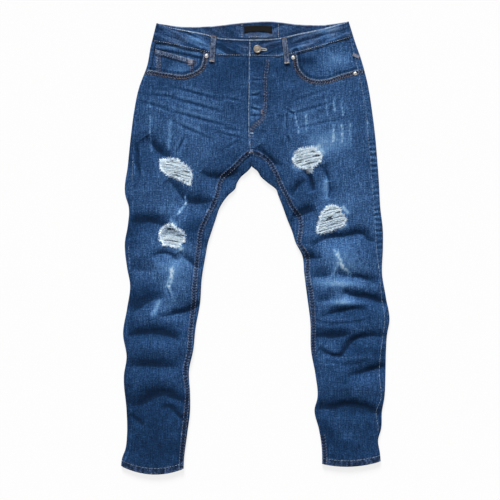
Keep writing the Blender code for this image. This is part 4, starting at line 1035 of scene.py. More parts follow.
def grid_piece(name, grid, materials, thickness, wash, marks=None, keep=None, flip=False):
    """A sheet of cloth from a grid of points, without the points that no kept quad uses. Its
    thickness lies behind it, and its reverse shows the last of its materials."""
    rows, columns = grid.shape[:2]
    first = np.arange(rows - 1)[:, None] * columns + np.arange(columns - 1)
    quads = joined(first, first + 1, first + columns + 1, first + columns)
    if flip:
        quads = quads[..., ::-1]
    used, faces = np.unique(quads if keep is None else quads[keep], return_inverse=True)
    marks = np.zeros(grid.shape) if marks is None else marks
    obj = mesh_from(name, grid.reshape(-1, 3)[used], faces.reshape(-1, 4).tolist(), materials,
                    wash.ravel()[used], marks=marks.reshape(-1, 3)[used])
    modifier = obj.modifiers.new("cloth", "SOLIDIFY")
    modifier.thickness = thickness * MM
    modifier.offset = -1.0
    modifier.material_offset = len(materials) - 1
    modifier.use_even_offset = False
    return obj


def trimmed(x, y, outlines, outside=False):
    """Cuts a grid in plan, inside its outlines or outside them: which quads stay, with the
    points round each cut moved onto it."""
    middles = [(v[:-1, :-1] + v[1:, :-1] + v[:-1, 1:] + v[1:, 1:]) / 4 for v in (x, y)]
    keep = np.ones(middles[0].shape, dtype=bool)
    for outline in outlines:
        gone = inside(outline, *middles) != outside
        touched, stays = (np.zeros(x.shape, dtype=bool) for _ in range(2))
        for down, along in ((0, 0), (0, 1), (1, 0), (1, 1)):
            part = (slice(down, down + gone.shape[0]), slice(along, along + gone.shape[1]))
            touched[part] |= gone
            stays[part] |= keep & ~gone
        rim = touched & stays
        gap, _, near = distance_to(ring_of(outline), x[rim], y[rim])
        for column, v in enumerate((x, y)):
            v[rim] = np.where(gap < 2.5 * GRID, near[:, column], v[rim])
        keep &= ~gone
    return keep


def cut_cloth(name, outline, step, height, thickness, materials, wash, marks=None, flip=False):
    """A piece cut to its outline, from rules for its height, its wash and its marks."""
    low, high = outline.min(axis=0), outline.max(axis=0)
    x, y = np.meshgrid(np.arange(low[0] - step, high[0] + 2 * step, step),
                       np.arange(high[1] + step, low[1] - 2 * step, -step))
    keep = trimmed(x, y, [outline], outside=True)
    return grid_piece(name, joined(x, y, height(x, y)), materials, thickness, wash(x, y),
                      marks and marks(x, y), keep, flip)


def row_stations(leg):
    """Nominal y of the rows of points down a leg."""
    marks = [WAIST_Y, YOKE_Y, CROTCH_Y, APEX_Y, HEM[leg][0]]
    rows = [np.linspace(a, b, max(2, round((a - b) / GRID)), endpoint=False)
            for a, b in zip(marks, marks[1:])]
    return np.concatenate(rows + [[marks[-1]]])


def closed_mouth(leg):
    """The outline of the pocket opening, from the mouth out past the waist and the outseam."""
    line = MOUTH[leg]
    past = SIDE[leg] * 300
    return np.vstack([line, [(past, line[-1][1]), (past, 540), (line[0][0], 540)]])


def ragged(outline):
    """A rip's outline, unevenly worn."""
    ring = evenly(ring_of(outline), 1.5)[:-1]
    away = ring - ring.mean(axis=0)
    away /= np.linalg.norm(away, axis=1)[:, None]
    return ring + away * RAGGED * noise(*ring.T, 4.0, 4.0, 51)[:, None]


# ---------------------------------------------------------------- panels
FRONT_COLUMNS = 92
LAP = 4.0              # how far one panel runs under the next at a seam
LAP_DROP = CLOTH + 0.15
SEAM_GAP = 0.7         # from a seam to the edge of the panel beside it
BACK_TOP = 2.6         # backs lower than this lie underneath


def front_panel(leg):
    rows = row_stations(leg)[:, None]
    first = inner_seam_x(leg, rows)
    if leg == "right":
        first = first + FLY_UNDERLAP * ramp(rows, FLY_END_Y, FLY_END_Y + 25)
    x = first + (outer_seam_x(leg, rows) - first) * np.linspace(0, 1, FRONT_COLUMNS)
    y = bent(leg, rows, x, BAND_FRONT)
    worn = [ragged(RIP_LINE[name]) for name in RIPS if RIPS[name][0] == leg]
    keep = trimmed(x, y, [closed_mouth(leg)] + worn)
    z = top_height(x, y)
    if leg == "right":
        under = ramp(x, FRONT_X - 4.0, FRONT_X - 0.5) * ramp(y, FLY_END_Y - 26, FLY_END_Y)
        z = z - LAYER * under
    return grid_piece(f"front_panel_{leg}", joined(x, y, z), [DENIM, REVERSE], CLOTH,
                      wash_and_shade_at(x, y), seam_marks(x, y), keep, flip=leg == "left")


def seat_height(x, y):
    """Height of the underside: flat, and lifted a little where it lies on the back pockets."""
    lift = SEAT_LIFT * ramp(y, 200, 240)
    for leg in SIDE:
        lift = lift * ramp(np.abs(outer_edge(leg, y) - x), 6.0, 30.0)
    return lift + 0.15 + 0.15 * noise(x, y, 24, 24, 61)


def arc_points(edge_x, side, y, low, high, radius, turns):
    """Points round a fold, over the turns given in degrees: 0 is the top, 180 the foot."""
    x = edge_x - side * radius * (1 - np.sin(np.radians(turns)))
    return joined(x, y, (high + low) / 2 + (high - low) / 2 * np.cos(np.radians(turns)))


def back_grid(leg):
    """Points of a back panel: round from the inseam on top, underneath, to the outseam on top."""
    side = SIDE[leg]
    rows = row_stations(leg)[:, None]
    inner, outer, seam_in, seam_out = (
        rule(leg, rows) for rule in (inner_edge, outer_edge, inner_seam_x, outer_seam_x))
    radius = EDGE_RADIUS * ramp(rows, APEX_Y, APEX_Y - 10)
    fold_in = np.where(rows <= APEX_Y, inner + side * radius, CENTRE_X)
    fold_out = outer - side * EDGE_RADIUS

    def on_top(x, drop=0.0):
        y = bent(leg, rows, x, BAND_FRONT)
        return joined(x, y, top_height(x, y) - drop)

    def between(start, end, count):
        return start + (end - start) * np.linspace(0, 1, count)

    lap_in = on_top(seam_in + side * np.array([[LAP, 0.6]]), LAP_DROP)
    strip_in = on_top(between(seam_in - side * SEAM_GAP, fold_in, 13))
    inner_arc = arc_points(inner, -side, bent(leg, rows, inner, BAND_FRONT), 0.1,
                           strip_in[:, -1:, 2], radius, FOLD_TURNS)
    x = between(fold_in, fold_out, 18)
    y = bent(leg, rows, x, BAND_BACK)
    under = joined(x, y, seat_height(x, y))
    strip_out = on_top(between(fold_out, seam_out + side * SEAM_GAP, 7))
    outer_arc = arc_points(outer, side, bent(leg, rows, outer, BAND_BACK), under[:, -1:, 2],
                           strip_out[:, :1, 2], EDGE_RADIUS, FOLD_TURNS[::-1])
    lap_out = on_top(seam_out - side * np.array([[0.6, LAP]]), LAP_DROP)
    grid = np.concatenate([lap_in, strip_in, inner_arc, under, outer_arc, strip_out, lap_out],
                          axis=1)
    keep = np.ones((grid.shape[0] - 1, grid.shape[1] - 1), dtype=bool)
    strip_end = lap_in.shape[1] + strip_in.shape[1] - 1
    arc_end = strip_end + inner_arc.shape[1] + 1
    keep[rows[:-1, 0] > CROTCH_Y, :strip_end] = False
    keep[rows[:-1, 0] > APEX_Y, strip_end:arc_end] = False
    return rows[:, 0], grid, keep


def back_panels(leg):
    """The yoke and the back panel of one leg, which meet in the yoke seam."""
    rows, grid, keep = back_grid(leg)
    x, y, z = np.moveaxis(grid, -1, 0)
    below = z < BACK_TOP
    wash = np.where(below, smooth(BASE_WASH, 1, y) - 0.04, wash_and_shade_at(x, y))
    marks = np.where(below[..., None], 0.0, seam_marks(x, y))
    yoke_row = int(np.argmin(np.abs(rows - YOKE_Y)))
    return [grid_piece(f"{name}_{leg}", grid[span], [DENIM, REVERSE], CLOTH, wash[span],
                       marks[span], keep[span][:len(grid[span]) - 1], flip=leg == "right")
            for name, span in (("yoke_panel", slice(0, yoke_row + 1)),
                               ("back_panel", slice(yoke_row, None)))]


# ---------------------------------------------------------------- waistband
BAND_ROWS = 22


def band_streaks(x, y):
    """Long slanting puckers from -1 to 1, falling towards the fly on either side of it."""
    across = y - np.where(x < CENTRE_X, -0.50, 0.38) * x
    return (0.6 * noise(x, across, 62, 10, 71) + 0.55 * noise(x, across, 30, 4.6, 76)
            + 0.45 * noise(x, across, 18, 2.8, 79))


def band_relief(x, y, share):
    """Puckers of the waistband between its two rows of stitches, and its rounded edges."""
    ripple = 1.3 * band_streaks(x, y) + 0.25 * noise(x, y, 5, 5, 72)
    edge = 0.8 * (1 - ramp(share, 0.0, 0.05)) + ramp(share, 0.95, 1.0)
    return ripple - edge - 0.35 * (bell((share - 0.07) / 0.03) + bell((share - 0.94) / 0.025))


def band_plan(x_low, edges, share):
    """Plan of the point a share of the way up the band, from its lower edge's x."""
    x_up = CENTRE_X + (x_low - CENTRE_X) * (1 - BAND_TAPER * ((x_low - CENTRE_X) / 230) ** 2)
    low, high = (smooth(edges, column, x_low) for column in (1, 2))
    return x_low + (x_up - x_low) * share, low + (high - low) * share


def band_floor(x, y):
    """The waistband's underside where it lies on the table side."""
    lift = SEAT_LIFT
    for leg in SIDE:
        lift = lift * ramp(np.abs(x - outer_edge(leg, WAIST_Y)), 4.0, 40.0)
    return 0.2 + lift + 0.25 * noise(x, y, 16, 12, 73)


def band_wash_and_shade(x, y, up, on_top):
    """Wear of the waistband, a share of the way up it, on top or underneath, with painted shade by
    its lower edge and painted highlight and shade on its puckers.
    """
    speck = noise(x, y, 3.5, 3.5, 77)
    rubbed = ramp(x, -215, -165) * (1 - ramp(x, 180, 215))
    wash = np.where(on_top, wash_and_shade_at(x, y, add_crease_shade_and_wear=False), 0.36)
    wash = wash + (0.50 + 0.25 * speck) * rubbed * bell((up - 0.985) / 0.04)
    wash = wash + (0.34 + 0.25 * speck) * bell(up / 0.03)
    # Painted shadow just above the lower edge; a darker line below the upper stitching.
    wash = wash - 0.24 * bell((up - 0.045) / 0.02) - 0.14 * bell((up - 0.90) / 0.04)
    # The puckers: paler on their ridges and darker in their dips, part wear and part painted
    # highlight and shade.
    wash = wash + np.where(on_top, 0.28, 0.20) * band_streaks(x, y)
    wash = wash + 0.05 * noise(x, y, 30, 30, 75)
    return wash + (0.10 * bell((x - 130) / 60) - 0.09 * bell((x + 40) / 40)) * on_top


def waistband():
    share = np.linspace(0, 1, BAND_ROWS)[None, :]
    end = {leg: float(outer_edge(leg, WAIST_Y)) for leg in SIDE}
    fold_at = {leg: end[leg] - SIDE[leg] * EDGE_RADIUS for leg in SIDE}
    x_left = np.concatenate([np.arange(FRONT_X, 34.0, 1.2), np.arange(34.0, fold_at["left"], 3.0),
                             [fold_at["left"]]])
    x_right = np.concatenate([
        [fold_at["right"]], np.arange(fold_at["right"] + 2.0, FRONT_X - 8, 3.0),
        np.arange(FRONT_X - 8, FRONT_X + BAND_UNDERLAP, 2.0)])

    def on_top(x_low, lapped=0.0):
        x, y = band_plan(x_low[:, None], BAND_FRONT, share)
        under = lapped * ramp(x, FRONT_X - 5, FRONT_X - 0.5)
        z = top_height(x, y) + BAND_PROUD + band_relief(x, y, share)
        return joined(x, y, z - (BAND_CLOTH + 0.4) * under)

    def fold(leg, high, low, turns):
        x, y = band_plan(np.full((1, 1), end[leg]), BAND_BACK, share)
        return arc_points(x, SIDE[leg], y, low, high, EDGE_RADIUS, turns[:, None])

    left, right = on_top(x_left), on_top(x_right, 1.0)
    x, y = band_plan(np.arange(fold_at["left"], fold_at["right"], -4.0)[:, None], BAND_BACK, share)
    under = joined(x, y, band_floor(x, y))
    grid = np.concatenate([
        left, fold("left", left[-1:, :, 2], under[:1, :, 2], FOLD_TURNS), under,
        fold("right", right[:1, :, 2], under[-1:, :, 2], FOLD_TURNS[::-1]), right])
    x, y, z = np.moveaxis(grid, -1, 0)
    keep = np.ones((grid.shape[0] - 1, grid.shape[1] - 1), dtype=bool)
    bx, by = BUTTON_AT
    slot = rounded([(bx - 9, by), (bx, by + 1.4), (25, by + 0.2), (27.5, by - 1.2),
                    (25, by - 2.4), (bx, by - 1.6)], closed=True)
    keep[:len(x_left) - 1] = trimmed(x[:len(x_left)], y[:len(x_left)], [slot])
    up = np.broadcast_to(share, x.shape)
    top = z > 3.0
    by_label = bell((x - 8) / 34, power=4) * bell((y - 487) / 8) * ~top
    greyed = 0.15 + 0.25 * noise(x, y, 20, 14, 78) + 0.45 * by_label
    greyed = greyed + 0.5 * bell((up - 0.98) / 0.05) + 0.4 * bell(up / 0.05)
    return grid_piece("waistband_band", grid, [DENIM_BAND], BAND_CLOTH,
                      band_wash_and_shade(x, y, up, top) + 0.18 * by_label,
                      joined(0 * x, 0 * x, np.clip(greyed, 0, 1)), keep, flip=True)


# ---------------------------------------------------------------- small cloth pieces
def band_top(x, y):
    """Height of the outermost face where the waistband lies on top, and of the panel below."""
    low, high = (smooth(BAND_FRONT, column, x) for column in (1, 2))
    share = (y - low) / (high - low)
    on_band = (share > 0) & (share < 1)
    return top_height(x, y) + np.where(on_band, BAND_PROUD + band_relief(x, y, share), 0.0)


def loop_place(name, share, across):
    """Points on the top face of a front belt loop: shares along it, distances across it."""
    x0, y0, x1, y1 = FRONT_LOOPS[name]
    run = np.array([x1 - x0, y1 - y0], dtype=float)
    side = np.array([-run[1], run[0]]) / np.linalg.norm(run)
    middle_x, middle_y = x0 + run[0] * share, y0 + run[1] * share
    x, y = middle_x + side[0] * across, middle_y + side[1] * across
    clear = np.interp(share, LOOP_SHARE, LOOP_RISE)
    folded = 0.5 * (ramp(share, 0.86, 0.89) + ramp(share, 0.13, 0.10))
    edge = 0.5 * (np.abs(across) / (LOOP_WIDTH / 2)) ** 6
    ground = broad_top(middle_x, middle_y) + BAND_PROUD + LOOP_CLOTH * 0.7
    return x, y, ground + clear + folded - edge + 0.22 * noise(x, y, 5, 7, 81)


def front_loop(name):
    share = np.linspace(0, 1, 46)[:, None]
    across = np.linspace(-LOOP_WIDTH / 2, LOOP_WIDTH / 2, 11)[None, :]
    x, y, z = loop_place(name, share + 0 * across, across + 0 * share)
    across = np.abs(across)
    wash = 0.54 + 0.16 * bell((across - 4.6) / 0.9)
    # Painted shade along both sides and at the foot; darker also at the top end.
    wash = wash - 0.30 * ramp(across, 5.2, 6.0) + 0.20 * noise(x, y, 3.2, 4.5, 82)
    wash = wash - 0.35 * ramp(share, 0.10, 0.04) - 0.30 * ramp(share, 0.955, 0.985)
    return grid_piece(name + "_strip", joined(x, y, z), [DENIM_BAND], LOOP_CLOTH, wash,
                      joined(0 * x, 0 * x, 0.9), flip=True)


def turned_outline(points, cx, cy, angle):
    x, y = turned(*np.transpose(points), math.radians(angle))
    return joined(cx + x, cy + y)


def corner_rounded(points, radius, steps=5):
    """A closed outline with its corners rounded."""
    pts = np.array(points, dtype=float)
    made = []
    for before, at, after in zip(np.roll(pts, 1, axis=0), pts, np.roll(pts, -1, axis=0)):
        start = at + (before - at) / np.linalg.norm(before - at) * radius
        end = at + (after - at) / np.linalg.norm(after - at) * radius
        made += [(1 - t) ** 2 * start + 2 * t * (1 - t) * at + t * t * end
                 for t in np.linspace(0, 1, steps)]
    return np.array(made)


def back_pocket(name):
    outline = turned_outline(corner_rounded(BACK_POCKET, 4.0), *BACK_POCKET_AT[name])

    def from_edge(x, y):
        return distance_to(ring_of(outline), x, y)[0]

    def height(x, y):
        return 0.05 + 0.12 * ramp(from_edge(x, y), 8.0, 12.0) + 0.08 * noise(x, y, 14, 14, 91)

    def wash(x, y):
        return 0.44 + 0.2 * bell(from_edge(x, y) / 1.8) + 0.08 * noise(x, y, 25, 30, 92)

    return cut_cloth(name + "_cloth", outline, 3.0, height, CLOTH, [DENIM], wash)


def back_loop(name):
    x0, y0, x1, y1 = BACK_LOOPS[name]
    half = LOOP_WIDTH / 2
    corners = [(x1 - half, y1), (x1 + half, y1), (x0 + half, y0), (x0 - half, y0)]
    return cut_cloth(name + "_strip", corner_rounded(corners, 1.0), 3.0,
                     lambda x, y: 0.02 + 0 * x, 1.0, [DENIM_BAND],
                     lambda x, y: 0.4 + 0.1 * noise(x, y, 4, 6, 93))


def label():
    x0, y0, width, height, thickness = LABEL
    u, v = np.meshgrid(np.linspace(-0.5, 0.5, 34), np.linspace(0.5, -0.5, 12))
    x = x0 + u * width
    y = y0 + v * height + (3.2 - 2.8 * v) * (1 - 4 * u ** 2)
    base = band_floor(x, y) + BAND_CLOTH + 0.45 + thickness
    curl = 0.5 * (4 * u * u) ** 4 * (0.5 + v) + 0.15 * noise(x, y, 14, 9, 94)
    edge = 0.35 * (np.clip(2 * np.abs(u), 0.94, 1) - 0.94) / 0.06
    return grid_piece("label_satin", joined(x, y, base + curl - edge), [LABEL_CLOTH], thickness,
                      0 * x, flip=True)


# ---------------------------------------------------------------- pocket openings
def facing_outline(leg):
    """The facing shows in the pocket's opening, and runs on under the front's mouth."""
    side = SIDE[leg]
    line = evenly(MOUTH[leg], 6.0)
    under = beside(line, -side * FACING_DEPTH)
    under = under[side * under[:, 0] < side * outer_seam_x(leg, under[:, 1])]
    rows = np.arange(under[-1][1] + 3.0, 476.0, 6.0)
    reach = joined(outer_seam_x(leg, rows) - side * 0.8, rows)
    x = np.linspace(reach[-1][0], line[0][0] - side * 14, 30)
    return np.vstack([under, reach, joined(x, smooth(BAND_FRONT, 1, x) + 4.0)])


def facing_wash_and_shade(x, y):
    worn = 0.30 * bell((x - 190) / 36, (y - 432) / 20)
    # Painted shade below the band on the wearer's left.
    shade = 0.26 * bell((x - 118) / 26, (y - 429) / 8)
    # On the wearer's right: a painted shadow along the crease above the coin pocket, and a painted
    # highlight on the strip above it.
    up = y - np.interp(x, [-233, -194, -171, -137, -118], [455, 451, 446, 438, 435])
    strip = (0.16 * bell((up - 9) / 5) - 0.34 * bell(up / 3)) * (x < 0)
    return worn + strip - shade


def coin_top(x, y):
    """The coin pocket's hem stands out along its top."""
    d = distance_to(COIN_HEM, x, y)[0]
    hem = 1 - ramp(d, 9.5, 11.0) - 0.4 * bell((d - 12.0) / 1.5)
    relief = hem + 0.3 * bell((x + 219) / 4) + 0.15 * noise(x, y, 6, 6, 62)
    return broad_top(x, y) - COIN_DROP + relief


def coin_wash_and_shadow(x, y):
    d = distance_to(COIN_HEM, x, y)[0]
    worn = 0.28 * bell((x + 174) / 26, (y - 408) / 10)
    folded = (0.12 + 0.14 * noise(x, y, 4, 4, 63)) * (1 - ramp(d, 9.0, 10.5))
    # Paler at the left side and along the top edge; painted shadow in the groove under the hem.
    edges = 0.16 * bell((x + 226) / 6) + 0.15 * bell(d / 1.4) - 0.35 * bell((d - 12.2) / 1.6)
    return worn + folded + edges - 0.04


def behind_mouth(name, outline, height, more):
    """A piece of cloth behind a pocket mouth, washed more or less than the front there, and with
    painted shade of its own.
    """
    return cut_cloth(name + "_cloth", outline, GRID, height, FACING_CLOTH, [DENIM, REVERSE],
                     lambda x, y: np.clip(wash_and_shade_at(x, y) + more(x, y), 0, WASH_MOST),
                     seam_marks, flip=True)


def pocket_facing(leg):
    return behind_mouth(f"pocket_facing_{leg}", facing_outline(leg),
                        lambda x, y: broad_top(x, y) - FACING_DROP[leg], facing_wash_and_shade)


# ---------------------------------------------------------------- hardware
BUTTON_PROFILE = [
    (0, -6.6), (4.5, -6.6), (4.6, -6.2), (4.5, -5.8), (2.2, -5.5), (2.2, 0.4), (7.6, 0.5),
    (8.6, 0.8), (9, 1.4), (9, 2), (8.6, 2.6), (7.9, 2.9), (7.2, 2.8), (6.8, 2.4), (6.4, 2.2),
    (5, 2.45), (3, 2.75), (1.2, 2.85), (0, 2.9),
]
RIVET_PROFILE = [
    (0, 0), (4.2, 0), (4.6, 0.25), (4.5, 0.7), (3.9, 1), (3.3, 0.95), (2.6, 1.1), (2, 1.7),
    (1.2, 2), (0, 2.1),
]


def turned_metal(name, profile, place, normal, material, steps):
    """Hardware turned about its own axis, which points along the normal."""
    profile = np.array(profile, dtype=float)
    normal = np.array(normal, dtype=float) / np.linalg.norm(normal)
    across = np.cross((0.0, 1.0, 0.0), normal)
    across /= np.linalg.norm(across)
    angles = np.linspace(0, math.tau, steps, endpoint=False)[:, None]
    circle = np.cos(angles) * across + np.sin(angles) * np.cross(normal, across)
    rings = [r * circle + h * normal for r, h in profile[1:-1]]
    points = place + np.vstack([profile[0][1] * normal, *rings, profile[-1][1] * normal])
    faces = []
    last = len(points) - 1 - steps
    for k in range(steps):
        after = (k + 1) % steps
        faces.append([0, 1 + after, 1 + k])
        faces += [[base + k, base + after, base + steps + after, base + steps + k]
                  for base in range(1, last, steps)]
        faces.append([last + k, last + after, len(points) - 1])
    obj = mesh_from(name, points, faces, [material])
    obj.data.set_sharp_from_angle(angle=math.radians(50))
    return obj


def button():
    x, y = BUTTON_AT
    place = np.array([x, y, float(top_height(x, y)) + BAND_PROUD + 0.4])
    return turned_metal("button_turned", BUTTON_PROFILE, place, (0.03, 0.06, 1), ANTIQUE_NICKEL,
                        48)


def rivet(name, step=3.0):
    x, y = RIVETS_AT[name]
    slopes = [float(broad_top(x + dx, y + dy) - broad_top(x - dx, y - dy)) / (2 * step)
              for dx, dy in ((step, 0.0), (0.0, step))]
    place = np.array([x, y, float(top_height(x, y)) - 0.1])
    return turned_metal(name + "_turned", RIVET_PROFILE, place, (-slopes[0], -slopes[1], 1.0),
                        BRIGHT_NICKEL, 32)


# ---------------------------------------------------------------- thread: two node trees
def new_tree(name, *inputs):
    """A geometry tree with named inputs: the tree, its inputs, and its lines as curves."""
    tree = bpy.data.node_groups.new(name, "GeometryNodeTree")
    for label_text, kind, *value in (("Geometry", "Geometry"), *inputs, ("Thread", "Material")):
        socket = tree.interface.new_socket(label_text, in_out="INPUT",
                                           socket_type="NodeSocket" + kind)
        if value:
            socket.default_value = value[0]
    tree.interface.new_socket("Geometry", in_out="OUTPUT", socket_type="NodeSocketGeometry")
    given = add(tree, "NodeGroupInput").node.outputs
    return tree, given, add(tree, "GeometryNodeMeshToCurve", {"Mesh": given["Geometry"]})


def closed_tree(tree, given, shape):
    """Ends a tree: its shape with smooth shading, in its thread."""
    real = add(tree, "GeometryNodeRealizeInstances", {"Geometry": shape})
    shaded = add(tree, "GeometryNodeSetShadeSmooth", {"Geometry": real})
    spun = add(tree, "GeometryNodeSetMaterial", {"Geometry": shaded, "Material": given["Thread"]})
    add(tree, "NodeGroupOutput", {"Geometry": spun})
    return tree


def stitch_tree():
    """Lays a stitch at even steps along every line, with a little unevenness."""
    tree, given, curve = new_tree(
        "stitch_rows", ("Pitch", "Float", 0.005), ("Length", "Float", 0.0025),
        ("Width", "Float", 0.0008), ("Seed", "Int", 1))
    steps = add(tree, "GeometryNodeResampleCurve", {"Curve": curve, "Length": given["Pitch"]},
                mode="LENGTH")
    bead = add(tree, "GeometryNodeMeshUVSphere", {"Segments": 6, "Rings": 5, "Radius": 0.5})
    turn = add(tree, "FunctionNodeAlignRotationToVector",
               {"Vector": add(tree, "GeometryNodeInputTangent")}, axis="X")
    uneven = add(tree, "FunctionNodeRandomValue", {
        "Min": (0.6, 0.7, 0.8), "Max": (1.25, 1.15, 1.1), "Seed": given["Seed"]},
        data_type="FLOAT_VECTOR")
    size = add(tree, "ShaderNodeCombineXYZ", (given["Length"], given["Width"], given["Width"]))
    scale = add(tree, "ShaderNodeVectorMath", (uneven, size), operation="MULTIPLY")
    return closed_tree(tree, given, add(tree, "GeometryNodeInstanceOnPoints", {
        "Points": steps, "Instance": bead, "Rotation": turn, "Scale": scale}))


def thread_tree():
    """Sweeps a round thread along every line; its thickness varies by the line's points."""
    tree, given, curve = new_tree(
        "swept_threads", ("Radius", "Float", 0.0004), ("Unevenness", "Float", 0.3),
        ("Sides", "Int", 5), ("Seed", "Int", 1))
    least, most = (add(tree, "ShaderNodeMath", (1.0, given["Unevenness"]), operation=kind)
                   for kind in ("SUBTRACT", "ADD"))
    # The third and fourth inputs are the least and most of a random number, its second output.
    uneven = add(tree, "FunctionNodeRandomValue", {2: least, 3: most, "Seed": given["Seed"]},
                 out=1, data_type="FLOAT")
    radius = add(tree, "ShaderNodeMath", (uneven, given["Radius"]), operation="MULTIPLY")
    sized = add(tree, "GeometryNodeSetCurveRadius", {"Curve": curve, "Radius": radius})
    profile = add(tree, "GeometryNodeCurvePrimitiveCircle",
                  {"Resolution": given["Sides"], "Radius": 1.0})
    swept = add(tree, "GeometryNodeCurveToMesh",
                {"Curve": sized, "Profile Curve": profile, "Fill Caps": True})
    if "Scale" in swept.node.inputs:
        tree.links.new(add(tree, "GeometryNodeInputRadius"), swept.node.inputs["Scale"])
    return closed_tree(tree, given, swept)


STITCH_ROWS = stitch_tree()
SWEPT_THREADS = thread_tree()


def from_lines(name, lines, tree, thread, **values):
    """Turns lines of points into stitches or threads, as one plain mesh."""
    edges = []
    start = 0
    for line in lines:
        edges += [(start + i, start + i + 1) for i in range(len(line) - 1)]
        start += len(line)
    obj = mesh_from(name, np.concatenate(lines), [], [], edges=edges)
    modifier = obj.modifiers.new("thread", "NODES")
    modifier.node_group = tree
    values["Thread"] = thread
    for item in tree.interface.items_tree:
        if item.in_out == "INPUT" and item.name in values:
            modifier[item.identifier] = values[item.name]
    return plain_mesh(obj)


def laid_on(line, height, lift=0.25):
    """A line in plan, raised to the height of the surface it is sewn to."""
    x, y = np.transpose(line).astype(float)
    return joined(x, y, height(x, y) + lift)


def zigzag(line, width, step):
    """A bar tack: thread going to and fro across a short line."""
    line = evenly(line, step)
    edges = np.stack([beside(line, width / 2), beside(line, -width / 2)], axis=1)
    return evenly(edges.reshape(-1, 2), max(width / 5, 0.7))


# ---------------------------------------------------------------- worn-through rips
# Rip: angle its weft lies at, thread pitch, where it gapes: x, y, reach, share of threads lost,
# and the row beyond which the threads are painted greyer, as shade under the fold above,
# counted from the rip's middle.
WEFT = {
    "thigh_right": (-13, 1.25, (-190, 204, 12, 0.45), 99.0),
    "knee_right": (-8, 1.25, (-186, 41, 19, 0.75), 0.0),
    "thigh_left": (15, 1.25, (130, 172, 11, 0.55), 99.0),
    "knee_left": (16, 1.25, (172, 66, 8, 1.5), 99.0),
}
TUFTS = 46
FRAY = 520             # broken threads round a rip
LOOSE = 100            # loose threads lying across it


def over_top(lines):
    """Lines whose z is their height above the broad shape, as lines in the garment's plan."""
    points = np.concatenate(lines)
    points[:, 2] += broad_top(points[:, 0], points[:, 1])
    return np.split(points, np.cumsum([len(line) for line in lines])[:-1])


def tuft(ring, middle, random):
    """A few broken threads that lean together over the edge of a rip."""
    at = ring[random.integers(len(ring))]
    away = (at - middle) / np.linalg.norm(at - middle)
    run = np.array(turned(*away, random.normal(0.0, 0.55)))
    tip = at + run * random.uniform(1.0, 6.0)
    t = np.linspace(0, 1, 4)[:, None]
    lines = []
    for spread in np.linspace(-1.5, 1.5, 5):
        root = at - 1.5 * run + spread * np.array([-run[1], run[0]])
        end = tip + random.normal(0.0, 0.35, 2)
        rise = 0.2 + random.uniform(0.2, 0.7) * np.sin(t * 2.6)
        lines.append(np.hstack([root + (end - root) * t, rise]))
    return lines


def rip_threads(name, greyed=False):
    """The weft left across a rip: two loose layers of threads that bunch and gape.

    The threads beyond the row where they are painted greyer, as shade under the fold above, are a
    piece of their own.
    """
    angle, pitch, (gape_x, gape_y, gape_reach, lost), shade_row = WEFT[name]
    angle = math.radians(angle)
    outline = RIP_LINE[name]
    middle = outline.mean(axis=0)
    u, v = turned(*(ring_of(outline) - middle).T, -angle)
    random = np.random.default_rng(int(abs(middle[0]) * 7 + abs(middle[1])))
    runs = []
    for layer, depth, missing in ((0, 1.0, 0.06), (1, -0.3, 0.25)):
        at = v.min() + 0.5 + layer * pitch / 2
        while at < v.max() - 0.4:
            crossings = sorted(u0 + (u1 - u0) * (at - v0) / (v1 - v0)
                               for u0, v0, u1, v1 in zip(u, v, u[1:], v[1:])
                               if (v0 > at) != (v1 > at))
            phase = random.uniform(0, 100)
            for start, end in zip(crossings[::2], crossings[1::2]):
                if end - start < 3:
                    continue
                along = np.arange(start - 1.5, end + 1.5, 1.6)
                row = at + 0 * along
                bunch = 1.7 * noise(along, row, 24, 4.5, 52)
                bunch = bunch + 0.7 * noise(along, row, 16, 4.5, 53 + layer)
                loose = 0.35 * noise(along + phase, row, 4, 1, 54)
                x, y = turned(along, at + bunch + loose, angle)
                x, y = middle[0] + x, middle[1] + y
                lift = 0.5 * noise(along + phase, row, 7, 1, 55)
                gape = np.exp(-((x - gape_x) ** 2 + 2.5 * (y - gape_y) ** 2) / gape_reach ** 2)
                thin = random.uniform() < missing
                slit = noise(along, row, 24, 2.9, 58)
                whole = (gape * lost < random.uniform(0.0, 1.0)) & (slit < 0.56) & (not thin)
                points = joined(x, y, lift - depth)
                cuts = np.flatnonzero(np.diff(whole.astype(int))) + 1
                for run, kept in zip(np.split(points, cuts), np.split(whole, cuts)):
                    if kept[0] and len(run) > 2 and (at > shade_row) == greyed:
                        runs.append(run)
            at += pitch
    ring = ragged(outline)
    for _ in range(0 if greyed else TUFTS):
        runs += tuft(ring, middle, random)
    kind, thread = ("shaded_weft", SHADED_COTTON) if greyed else ("weft", WEFT_COTTON)
    return from_lines(f"{kind}_threads_{name}", over_top(runs), SWEPT_THREADS, thread,
                      Radius=0.0005, Unevenness=0.35, Seed=7)


